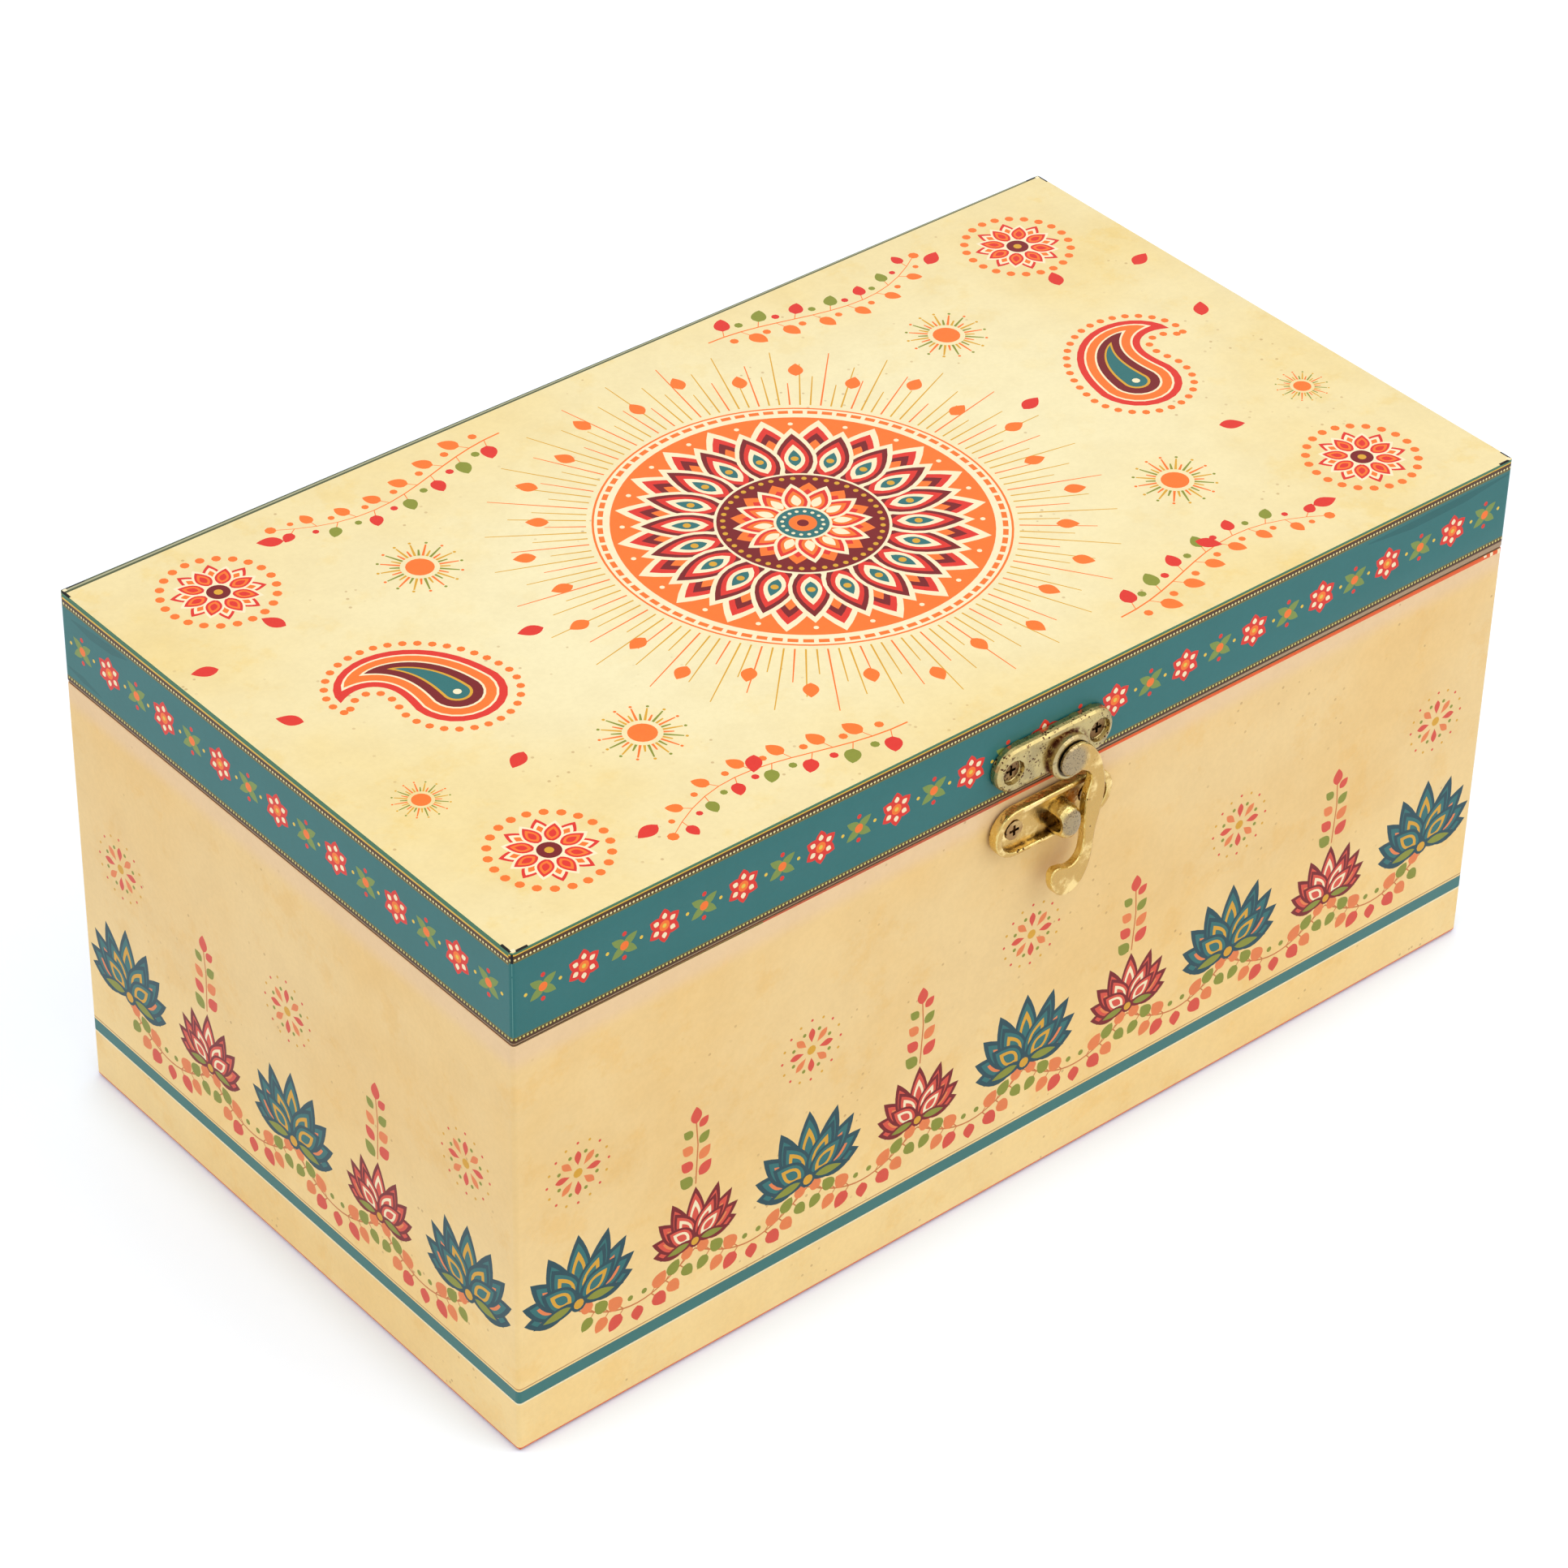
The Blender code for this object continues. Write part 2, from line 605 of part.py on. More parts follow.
def make_latch_plate(mats, axis):
    """The lid's plate with its hollow boss, and its two screws"""
    mesh = plate_mesh("latch_plate", [stadium(LATCH_LENGTH, LATCH_WIDTH, END_STEPS)], LATCH_THICKNESS)
    bevel_front_edge(mesh, LATCH_THICKNESS, LATCH_BEVEL, EDGE_STEPS)
    place = side_place(TURN_FRONT, HALF_DEPTH + GAP, LATCH_CENTRE_X, LATCH_Z)
    plate = add_part("latch_plate", mesh, mats["aged_brass"], place, axis)
    smooth(plate)
    boss_height = LATCH_THICKNESS + BOSS_RISE
    profile = [
        (0, boss_height), (BOSS_RADIUS - BOSS_EDGE, boss_height),
        (BOSS_RADIUS, boss_height - BOSS_EDGE), (BOSS_RADIUS, 0), (0, 0),
    ]
    boss_place = side_place(TURN_FRONT, HALF_DEPTH + GAP, PIVOT_X, PIVOT_Z)
    boss = add_cutter("boss", turned_mesh("boss", profile, ROUND_STEPS), boss_place)
    smooth(boss)
    combine(plate, boss, "UNION")
    bore = STUD_RADIUS + GAP
    step = boss_height - BOSS_WALL
    hollow_profile = [
        (0, boss_height + CUT_OVERRUN), (bore, boss_height + CUT_OVERRUN), (bore, step),
        (BOSS_HOLLOW_RADIUS, step), (BOSS_HOLLOW_RADIUS, -CUT_OVERRUN), (0, -CUT_OVERRUN),
    ]
    hollow = add_cutter("boss_hollow", turned_mesh("boss_hollow", hollow_profile, ROUND_STEPS), boss_place)
    smooth(hollow)
    cut(plate, [hollow])
    holes = []
    length = LATCH_FACE - LATCH_HEAD_SINK + SCREW_REACH
    mesh = screw_mesh("latch_screw", SCREW_HEAD_RADIUS, length)
    for name, side in (("left", -1), ("right", 1)):
        x = LATCH_CENTRE_X + side * LATCH_SCREW_SPACING / 2
        head = side_place(TURN_FRONT, HALF_DEPTH + LATCH_FACE - LATCH_HEAD_SINK, x, LATCH_Z)
        holes.append(screw_hole("latch_screw_hole_" + name, SCREW_HEAD_RADIUS, length,
                                COUNTERSINK_RADIUS, LATCH_HEAD_SINK, head))
        add_part("latch_screw_" + name, mesh, mats["rusty_steel"], head, axis)
    cut(plate, holes)
    even_normals(plate)
    return holes


def dome_mesh(name, half_length, half_width, rise, root):
    """A boxy dome of oval plan on a straight root"""
    profile = []
    for i in range(DOME_STEPS):
        turn = radians(90 * i / DOME_STEPS)
        profile.append((half_width * sin(turn) ** HOOD_ROUNDING, rise * cos(turn) ** HOOD_ROUNDING))
    profile += [(half_width, 0)]
    if root > 0:
        profile += [(half_width, -root)]
    profile += [(0, -root)]
    mesh = turned_mesh(name, profile, ROUND_STEPS)
    mesh.transform(Matrix.Diagonal((half_length / half_width, 1, 1, 1)))
    return mesh


def keeper_rim_mesh(thickness):
    """The ring round the keeper's floor, rounded on its outer and inner edges"""
    length = KEEPER_LENGTH - 2 * KEEPER_RIM_END
    width = KEEPER_WIDTH - KEEPER_RIM_TOP - KEEPER_RIM_BOTTOM
    shift = (KEEPER_RIM_BOTTOM - KEEPER_RIM_TOP) / 2
    curve = new_outline("keeper_plate", thickness, KEEPER_RIM_EDGE, 2)
    add_corners(curve, stadium(KEEPER_LENGTH, KEEPER_WIDTH, END_STEPS))
    add_corners(curve, [(x, y + shift) for x, y in stadium(length, width, END_STEPS)])
    return outline_mesh(curve, thickness)


def make_keeper(mats):
    """The body's plate with a raised rim and a scooped post, and its two screws"""
    thickness = KEEPER_FACE - GAP - KEEPER_RIM_LIFT
    back = HALF_DEPTH + GAP
    rim_place = side_place(TURN_FRONT, back + KEEPER_RIM_LIFT, KEEPER_X, KEEPER_Z)
    plate = add_part("keeper_plate", keeper_rim_mesh(thickness), mats["bright_brass"], rim_place)
    floor_outline = stadium(KEEPER_LENGTH - KEEPER_RIM_END, KEEPER_WIDTH - KEEPER_RIM_BOTTOM, END_STEPS)
    floor_place = side_place(TURN_FRONT, back, KEEPER_X, KEEPER_Z)
    floor_mesh = plate_mesh("keeper_floor", [floor_outline], KEEPER_FLOOR)
    floor = add_cutter("keeper_floor", floor_mesh, floor_place)
    hood_place = side_place(TURN_FRONT, back + KEEPER_FLOOR, THROAT_WORLD_X, THROAT_WORLD_Z + HOOD_SHIFT_Z)
    dome = dome_mesh("hood", HOOD_HALF_LENGTH, HOOD_HALF_WIDTH, HOOD_RISE, KEEPER_FLOOR / 2)
    hood = add_cutter("hood", dome, hood_place)
    reach = 2 * HOOD_HALF_WIDTH
    behind_mouth = boxes_mesh("hood_mouth", [((-reach, -reach, -reach), (-HOOD_MOUTH, reach, reach))])
    scoop_place = hood_place @ Matrix.Translation((SCOOP_SHIFT_X, 0, 0))
    dome = dome_mesh("hood_scoop", SCOOP_HALF_LENGTH, SCOOP_HALF_WIDTH, SCOOP_RISE, 0)
    scoop = add_cutter("hood_scoop", dome, scoop_place)
    for obj in (plate, hood, scoop):
        smooth(obj, DOME_SHARP_ANGLE)
    cut(hood, [add_cutter("hood_mouth", behind_mouth, hood_place)])
    combine(plate, floor, "UNION")
    combine(plate, hood, "UNION")
    cut(plate, [scoop])
    holes = []
    head_face = GAP + KEEPER_FLOOR + GAP
    length = head_face + SCREW_REACH
    screw = screw_mesh("keeper_screw", SCREW_HEAD_RADIUS, length)
    for name, side in (("left", -1), ("right", 1)):
        x = KEEPER_X + side * KEEPER_SCREW_SPACING / 2
        head = side_place(TURN_FRONT, HALF_DEPTH + head_face, x, KEEPER_Z)
        holes.append(screw_hole("keeper_screw_hole_" + name, SCREW_HEAD_RADIUS, length,
                                SCREW_HEAD_RADIUS + GAP, 0, head))
        add_part("keeper_screw_" + name, screw, mats["rusty_steel"], head)
    cut(plate, holes)
    even_normals(plate)
    return holes


def knuckle_spans():
    """Where each knuckle starts and ends along the hinge, ends in the hinge's own X"""
    step = HINGE_LENGTH / KNUCKLE_COUNT
    starts = [-HINGE_LENGTH / 2 + i * step for i in range(KNUCKLE_COUNT)]
    return [(start, start + step) for start in starts]


def hinge_strip_mesh(name, up):
    """A leaf's flat strip, from the hinge's axis to its far edge"""
    low = 0 if up > 0 else -HINGE_LEAF_HEIGHT
    back = -KNUCKLE_RADIUS
    half = HINGE_LENGTH / 2
    far = (half, low + HINGE_LEAF_HEIGHT, back + HINGE_LEAF_THICKNESS)
    return boxes_mesh(name, [((-half, low, back), far)])


def make_leaf(name, up, own_first, centre_x, mats, axis):
    """One hinge leaf: strip and knuckles joined, notched for the other leaf, bored for the pin"""
    place = side_place(TURN_BACK, HINGE_AXIS_Y, -centre_x, BODY_HEIGHT)
    leaf = add_part(name, hinge_strip_mesh(name, up), mats["hinge_brass"], place, axis)
    along = place @ Matrix.Rotation(radians(90), 4, "Y")
    half = HINGE_LENGTH / 2
    barrel = through_hole(name + "_barrel", KNUCKLE_RADIUS, -half, half, along, ROUND_STEPS)
    combine(leaf, barrel, "UNION")
    bore = through_hole(name + "_bore", PIN_RADIUS + PIN_PLAY, -half - CUT_OVERRUN,
                        half + CUT_OVERRUN, along, SMALL_STEPS)
    cutters = [bore]
    for i, (start, end) in enumerate(knuckle_spans()):
        if (i % 2 == 0) == own_first:
            continue
        low_x = start - CUT_OVERRUN if i == 0 else start - GAP / 2
        high_x = end + CUT_OVERRUN if i == KNUCKLE_COUNT - 1 else end + GAP / 2
        reach = KNUCKLE_RADIUS + GAP
        notch = boxes_mesh("%s_notch_%d" % (name, i), [((low_x, -reach, -reach), (high_x, reach, reach))])
        cutters.append(add_cutter("%s_notch_%d" % (name, i), notch, place))
    smooth(barrel)
    smooth(bore)
    cut(leaf, cutters)
    return leaf, place


def make_hinge(side, centre_x, mats, lid_axis, body_holes, lid_holes, screw):
    """Both leaves, the pin and four screws of one butt hinge"""
    length = GAP + HINGE_LEAF_THICKNESS + SCREW_REACH
    leaves = (
        ("body", -1, True, None, body_holes),
        ("lid", 1, False, lid_axis, lid_holes),
    )
    for owner, up, own_first, axis, holes in leaves:
        leaf, place = make_leaf("hinge_%s_leaf_%s" % (owner, side), up, own_first, centre_x, mats, axis)
        for i, along in enumerate((-1, 1)):
            x = -centre_x + along * HINGE_SCREW_SPACING / 2
            z = BODY_HEIGHT + up * HINGE_SCREW_HEIGHT
            head = side_place(TURN_BACK, HALF_DEPTH + GAP + HINGE_LEAF_THICKNESS, x, z)
            label = "%s_%d" % (side, i + 1)
            hole = screw_hole("hinge_%s_hole_%s" % (owner, label), HINGE_SCREW_HEAD_RADIUS, length,
                              HINGE_SCREW_HEAD_RADIUS + GAP, 0, head)
            cut(leaf, [hole])
            holes.append(hole)
            add_part("hinge_%s_screw_%s" % (owner, label), screw, mats["hinge_brass"], head, axis)
        even_normals(leaf)
    half = HINGE_LENGTH / 2 + GAP
    end = half + PIN_HEAD_LENGTH
    profile = [
        (0, end), (PIN_RADIUS, end), (PIN_HEAD_RADIUS, half + PIN_HEAD_LENGTH / 2),
        (PIN_HEAD_RADIUS, half), (PIN_RADIUS, half), (PIN_RADIUS, -half), (PIN_HEAD_RADIUS, -half),
        (PIN_HEAD_RADIUS, -half - PIN_HEAD_LENGTH / 2), (PIN_RADIUS, -end), (0, -end),
    ]
    along = place @ Matrix.Rotation(radians(90), 4, "Y")
    pin = add_part("hinge_pin_" + side, turned_mesh("hinge_pin", profile, SMALL_STEPS),
                   mats["hinge_brass"], along)
    smooth(pin)


def build():
    clear_scene()
    mats = make_materials()
    lid_axis = joint_empty("lid_axis", Vector((0, HINGE_AXIS_Y, BODY_HEIGHT)))
    hook_axis = joint_empty("hook_axis", Vector((PIVOT_X, -HALF_DEPTH - HOOK_BACK, PIVOT_Z)), lid_axis)

    board = mats["painted_board"]
    names = ("front_panel", "right_panel", "back_panel", "left_panel")
    walls = make_walls(names, 0, BODY_RIM, BODY_FINGERS, board)
    make_panel("base_panel", 0, BASE_THICKNESS, board)
    wrap = make_sleeve("body_wrap", BARE_BASE_EDGE, BODY_HEIGHT - BARE_RIM_EDGE, mats["cream_print"])
    make_dividers(mats["divider_board"])

    names = ("lid_front_rail", "lid_right_rail", "lid_back_rail", "lid_left_rail")
    rails = make_walls(names, LID_BOTTOM, LID_BOARD_TOP, LID_FINGERS, board, lid_axis)
    make_panel("lid_panel", LID_BOARD_TOP - LID_TOP_THICKNESS, LID_TOP_THICKNESS, board, lid_axis)
    band = make_sleeve("lid_band", LID_BOTTOM + GAP, LID_BOARD_TOP, mats["teal_print"], lid_axis)
    make_top_sheet(mats["cream_print"], lid_axis)

    latch_holes = make_latch_plate(mats, lid_axis)
    keeper_holes = make_keeper(mats)
    make_hook(mats, hook_axis)

    body_holes = []
    lid_holes = []
    screw = screw_mesh("hinge_screw", HINGE_SCREW_HEAD_RADIUS, GAP + HINGE_LEAF_THICKNESS + SCREW_REACH)
    for side, x in (("left", -HINGE_SPACING / 2), ("right", HINGE_SPACING / 2)):
        make_hinge(side, x, mats, lid_axis, body_holes, lid_holes, screw)

    cut(walls[TURN_FRONT], keeper_holes)
    cut(walls[TURN_BACK], body_holes)
    cut(wrap, keeper_holes + body_holes)
    cut(rails[TURN_FRONT], latch_holes)
    cut(rails[TURN_BACK], lid_holes)
    cut(band, latch_holes + lid_holes)


build()
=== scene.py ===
"""Looks of a hinged, paper-wrapped jar gift box with a swing-hook latch.

The artwork is drawn flat in millimetres as closed outlines, later ones over earlier ones. Each
sheet is then cut along those outlines, so that every coloured field is its own faces, and folded
round the box.
"""
import json
import random
from math import atan2, cos, degrees, hypot, pi, radians, sin

import bmesh
import bpy
import numpy as np
from mathutils import Matrix, Quaternion, Vector
from mathutils.geometry import delaunay_2d_cdt


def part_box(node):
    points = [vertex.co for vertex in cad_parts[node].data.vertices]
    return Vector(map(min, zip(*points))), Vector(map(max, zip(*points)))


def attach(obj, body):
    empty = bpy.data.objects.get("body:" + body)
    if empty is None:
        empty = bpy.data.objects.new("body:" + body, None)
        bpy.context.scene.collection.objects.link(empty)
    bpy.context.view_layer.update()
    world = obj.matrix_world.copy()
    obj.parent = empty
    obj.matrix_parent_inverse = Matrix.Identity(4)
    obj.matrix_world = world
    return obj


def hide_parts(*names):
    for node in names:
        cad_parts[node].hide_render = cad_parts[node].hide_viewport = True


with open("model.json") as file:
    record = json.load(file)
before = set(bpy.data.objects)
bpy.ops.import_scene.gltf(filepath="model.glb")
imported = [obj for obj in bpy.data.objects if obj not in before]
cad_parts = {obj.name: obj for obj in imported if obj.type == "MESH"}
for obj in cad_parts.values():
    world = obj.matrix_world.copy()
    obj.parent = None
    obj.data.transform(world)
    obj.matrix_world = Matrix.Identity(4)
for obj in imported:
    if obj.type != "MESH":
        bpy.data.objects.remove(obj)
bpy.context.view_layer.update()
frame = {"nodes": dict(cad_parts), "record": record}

sheet_low, sheet_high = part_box("lid_top_sheet")

# A millimetre, the paper's thickness in millimetres, and plain white
MM = 0.001
PAPER = (sheet_high.z - sheet_low.z) / MM
WHITE = (1, 1, 1, 1)

# Camera, fitted to the corners of the box in the photograph
CAMERA_PLACE = (-0.61019, -0.70269, 0.76572)
CAMERA_FORWARD = (0.52147, 0.60410, -0.60261)
CAMERA_ROLL = 1.38
CAMERA_LENS = 118.99

# Latch, in metres: the hook's pivot, two places worn bare, and for each kind of wear and for the
# painted shadow round the hook's eye the distances from a point at which it is full and has ended. FLAT
# leaves out depth
washer_low, washer_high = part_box("pivot_washer")
keeper_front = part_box("keeper_plate")[0].y
PIVOT = (washer_low + washer_high) / 2
EYE_WEAR = PIVOT + Vector((-0.0010, 0, 0))
EYE_REACH = (0.0028, 0.0050)
CROWN_WEAR = (PIVOT.x - 0.0002, keeper_front, PIVOT.z - 0.0160)
CROWN_REACH = (0.0026, 0.0036)
BOSS_REACH = (0.0052, 0.0060)
EYE_SHADOW_REACH = (0.0042, 0.0046)
RUST_REACH = (0.0060, 0.0072)
FLAT = (1, 0, 1)

# Studio: the floor glows for the camera, less where the box touches it, which paints a contact shadow,
# and is bluer near the box, a painted cool cast against the warm light the box throws on it
SKY_LIGHT = 0.78
FRONT_LAMP = (0.40, -0.70, 1.20)
FRONT_ENERGY = 5.6
SIDE_LAMP = (-0.75, 0.15, 1.20)
SIDE_ENERGY = 3.4
LAMP_SIZE = 1.2
LAMP_AIM = (0, 0, 0.08)
FLOOR_SIZE = 6.0
FLOOR_GLOW = 0.34
CONTACT_REACH = 0.014
CONTACT_GLOW = 0.30
COOL_CAST = (0.62, 0.80, 1.0, 1)
COOL_CAST_REACH = 0.35
FLOOR_GREY = (0.86, 0.86, 0.87, 1)
CONTACT_COOL_CAST = (0.86, 0.92, 1.0, 1)

# Inks, as the eye reads them, 0 to 255; side inks have faded; the crease, seam-shade and back-fold inks
# are painted shade and highlight
INKS = dict(
    cream_top=(241, 222, 167),
    cream_side=(243, 211, 150),
    teal=(46, 112, 112),
    teal_side=(62, 120, 118),
    teal_dark=(34, 74, 84),
    teal_crease_shade=(36, 100, 100),
    orange=(252, 122, 44),
    coral=(226, 52, 40),
    dark_red=(122, 20, 24),
    gold=(222, 166, 48),
    yellow=(238, 200, 70),
    pale=(252, 236, 196),
    olive=(140, 146, 50),
    leaf_green=(126, 148, 72),
    brown=(78, 48, 20),
    black=(14, 12, 12),
    side_coral=(222, 82, 64),
    side_orange=(236, 132, 76),
    side_line=(192, 146, 96),
    stem=(206, 122, 66),
    dusty=(170, 142, 108),
    board_red=(232, 98, 46),
    seam_shade_red=(196, 92, 62),
    worn_teal=(94, 148, 144),
    line_green=(66, 118, 90),
    line_gold=(234, 186, 62),
    line_olive=(112, 106, 52),
    fold_shade_green=(84, 92, 62),
    fold_highlight_pale=(176, 174, 140),
    bead=(240, 226, 158),
    bead_low=(216, 206, 116),
)
GROUNDS = ("cream_top", "cream_side")

# Paper: the tone of each print's mottling, its film, and where its ground's fades start and end; the
# pinkish fade under the body's rim is a painted highlight, and the paler one at its foot painted light
# from the floor
PRINT_TONES = dict(
    lid_print=(0.985, 0.93, 0.78, 1),
    band_print=(0.94, 0.95, 0.95, 1),
    body_print=(0.985, 0.93, 0.82, 1),
)
FILM = {"Roughness": 0.36, "Specular IOR Level": 0.18, "Coat Weight": 0.06, "Coat Roughness": 0.16}
GLOW_STRETCH = (0.62, 1, 0)
GLOW_REACH = (0.028, 0.100)
RIM_HIGHLIGHT = (0.1025, 0.1075)
UNDER_RIM_FADE = (0.091, 0.101)
FOOT_FLOOR_LIGHT = (0.066, 0.014)

# Boards: the colour of the face, the one deep between its fibres, and the roughness
BOARDS = dict(
    painted_board=dict(colour=(232, 100, 52), deep=(206, 80, 42), rough=0.5),
    divider_board=dict(colour=(196, 164, 124), deep=(166, 132, 94), rough=0.8),
)

# Metals: worn patches start at the noise level patches, spot_share adds rust, relief deepens dents; the
# lighter rim colour on edges is a painted highlight, and bright_brass's lighter worn patches are
# painted glints
METALS = dict(
    aged_brass=dict(
        colour=(190, 170, 116), worn=(170, 152, 108), rim=(200, 180, 120), stain=(84, 52, 34),
        rough=0.22, patches=0.44, spot_share=0.12,
    ),
    # Its worn patches are lighter than its colour: painted glints
    bright_brass=dict(
        colour=(198, 160, 92), worn=(242, 212, 144), rim=(232, 210, 138), stain=(96, 64, 30),
        rough=0.18, patches=0.49, wavy=1.0, relief=0.00042,
    ),
    rusty_steel=dict(
        colour=(156, 126, 84), worn=(124, 92, 58), rim=(140, 110, 72), stain=(60, 36, 22),
        rough=0.34, patches=0.40, spot_share=0.12,
    ),
    golden_screw=dict(
        colour=(196, 162, 104), worn=(160, 122, 76), rim=(186, 150, 88), stain=(72, 46, 26),
        rough=0.26, patches=0.42, spot_share=0.08,
    ),
    hinge_brass=dict(
        colour=(204, 168, 102), worn=(186, 150, 84), rim=(216, 190, 122), stain=(110, 74, 40),
        rough=0.24, patches=0.50,
    ),
)

# Folding of the paper, in millimetres, and the bend past which an edge is shown sharp
FOLD_RADIUS = 1.0
EDGE_ROLL = 0.3
ROLL_DEPTH = 0.6
CORNER_STEPS = 5
SHARP_ANGLE = radians(35)

# Points of the artwork that are nearer to each other than this become one, in millimetres
WELD = 0.0005

# Lid top: the lines along its edges, the painted shade and highlight of the fold along its back edge,
# and the marks at its corners
EDGE_LINE = 0.15
BACK_FOLD = (1.9, 0.8)
BACK_FOLD_LIGHT_AND_SHADE = ((1.0, "fold_shade_green"), (0.64, "fold_highlight_pale"), (0.36, "fold_shade_green"))
LONG_MARK = 5.0
MARK_LENGTH = 3.0
MARK_WIDTH = 0.6
MARK_INSET = 0.03
FRONT_MARK_START = 1.2
SIDE_MARK_START = 0.7
CHIP = (0.5, 0.4, 1.4, 1.2)

# Lid top: the big flower. PAST values lie past its radius, others are from its middle. A petal is its
# foot's radius, its length and width, and its inks from the outside in
MANDALA_RADIUS = 41.0
RAY_COUNT = 128
RAY_PAST = 6.0
RAY_LENGTHS = (22, 12, 17, 9)
RAY_WIDTH = 0.40
DROP_COUNT = 28
DROP_PAST = 14.0
DROP_STEP = 4.0
DROP_SIZE = (5.2, 3.5)
LINK_COUNT = 84
LINK_PAST = 3.0
LINK_HALF = (1.15, 0.60)
OUTER_PAST = ((4.8, "orange"), (4.3, "pale"))
INNER_PAST = ((1.7, "pale"), (0.9, "orange"))
PETAL_COUNT = 20
BACK_PETAL = (19, 22.0, 10.5, ("pale", "coral", "dark_red", "orange"))
FRONT_PETAL = (15, 22.5, 10.0, ("pale", "dark_red", "coral", "pale", "teal"))
PETAL_DOTS = ((25.2, 0.9, "gold", 10), (39.2, 0.6, "pale", 8))
HEART_FIELDS = ((19.4, "pale"), (18.8, "dark_red"))
HEART_BEADS = (17.4, 44, 0.62, "gold")
HEART_PETAL_COUNT = 12
HEART_BACK_PETAL = (4, 11.8, 7.2, ("orange", "coral"))
HEART_FRONT_PETAL = (3, 12.4, 6.4, ("pale", "coral", "orange", "pale"))
EYE_FIELDS = ((6.4, "pale"), (5.8, "teal"))
EYE_BEADS = (4.5, 16, 0.45, "pale")
PUPIL_RADIUS = 3.1
PUPIL_DOT = 1.3

# Lid top: mango figures. Radius, length, layers and dots are shares of their size, the curl is degrees
PAISLEY_X = 96.0
PAISLEY_Y = -3.0
PAISLEY_SIZE = 21.0
MANGO_STEPS = 18
MANGO_RADIUS = 0.50
MANGO_LENGTH = 1.62
MANGO_CURL = 148
PAISLEY_LAYERS = (
    (1.0, "coral"), (0.83, "pale"), (0.78, "orange"), (0.57, "pale"), (0.52, "dark_red"),
    (0.31, "gold"), (0.25, "teal"),
)
PAISLEY_DOT_RING = 1.26
PAISLEY_DOT_PITCH = 0.15
PAISLEY_DOT = 0.045

# Lid top: corner flowers, sprays, sparks and single leaves, on the right half where they are mirrored
CORNER_FLOWER = (114.0, 57.0)
CORNER_FLOWER_RADIUS = 12.5
SPRAY_START = 30
SPRAY_LENGTH = 62
SPRAY_EDGE = 69
SPRAY_BOW = 13
SPRAY_STEPS = 14
SPRAY_LEAF = 5.4
SPRAY_STEM = 0.42
SPRAY_INKS = ("orange", "coral", "orange", "olive", "orange")
SPARKS = (
    (75, 38, 8.6, ("gold", "orange", "olive")),
    (75, -38, 8.6, ("orange", "gold", "olive")),
    (124, -28, 5.6, ("orange", "gold", "olive")),
)
SINGLE_LEAF = (6.0, 3.6)
SINGLE_LEAVES = (
    (127, 8, 40), (130, 34, 70), (110, 38, 25), (98, -28, 120),
    (92, 64, 60), (92, -64, 100), (68, 4, 75), (62, -58, 140),
)

# Body artwork; a lotus petal is its turn from upright and its length as a share of the flower's size
STRIPE_LOW = 13.8
STRIPE_HIGH = 17.1
STRIPE_LINE = 0.45
STRIPE_LINE_WIDTH = 0.30
FLOWER_PITCH = 31.0
FLOWER_END = 0.38
FLOWER_BASE = 33.0
FLOWER_SIZE = 24.0
SMALL_FLOWER = 19.0
LOTUS_BACK = ((82, 0.50), (62, 0.58), (40, 0.66), (18, 0.74))
LOTUS_FRONT = ((0, 0.80), (28, 0.62), (52, 0.52))
LARGE_INKS = ("teal_dark", "teal", "side_orange", "gold")
SMALL_INKS = ("dark_red", "side_coral", "side_orange", "pale")
DOT_FLOWER_HEIGHT = 69.0
DOT_FLOWER_RADIUS = 8.0
SPRIG_FOOT = 0.84
SPRIG_TOP = 70.0
SPRIG_STEP = 4.4
SPRIG_LEAF = 4.4
SPRIG_BUD = (4.6, 3.0)
SWAG_TOP = 31.0
SWAG_DROP = 6.6
SWAG_LEAF = 4.7
SWAG_LEAF_PLACES = (0.24, 0.49, 0.74)
SWAG_BUD = (4.2, 3.3)
SWAG_INKS = ("side_coral", "side_orange", "olive", "side_orange")
LEAF_TAPER = 0.4

# Body's edges: how far the print reaches past the plain sleeve, the bare board's red from end to end
# of the front's seam, painted shade over it in duller tones up to a place there, and chips near its
# right end
RIM_RAISE = 0.85
FOOT_DROP = 0.25
RIM_RED = (0.02, 1.0)
SEAM_SHADE_STRETCHES = ((-12.0, "seam_shade_red"), (-76.0, "line_olive"))
FOOT_RED = 0.5
SEAM_CHIPS = ((2.2, 1.2), (4.6, 0.9), (6.6, 0.5))
CHIP_WIDTH = 0.9

# Band artwork: its upper border sits lower on the left side, its lower one climbs on the front
BAND_RAISE = 0.27
BAND_DROP = 0.25
LEFT_SHIFT = 0.70
BORDER_CLIMB = 1.1
BEAD_PITCH = 0.95
BEAD_RADIUS = 0.30
TOP_BEADS = 1.50
LOW_BEADS = 1.30
TOP_LINES = ((0.46, "line_gold"), (1.41, "brown"), (0.40, "line_olive"))
LOW_LINES = ((0.42, "dusty"), (1.20, "brown"), (0.28, "line_olive"))
FOLD_MARK = 2.3
FOLD_MARK_WIDTH = 0.56
FOLD_MARK_PLACE = 0.8
BAND_PITCH = 9.7
BAND_END = 0.45
BAND_MARGIN = 0.3
ROSETTE_PETAL = (3.5, 2.9)
BAND_LEAF = (4.3, 2.1)

# Painted shade of creases in the band: side, which end of it, whether from its upper edge, steps from
# there, and width
CREASE_SHADES = (
    ("front", 1, True, ((-44, -3.4), (-30, -4.2), (-14, -4.0), (0, -3.2)), 2.4),
    ("left", -1, True, ((3, -5.0), (10, -5.2), (18, -4.6), (24, -3.8)), 2.6),
    ("left", -1, False, ((0, 4.4), (6, 3.8), (13, 3.0)), 1.8),
)

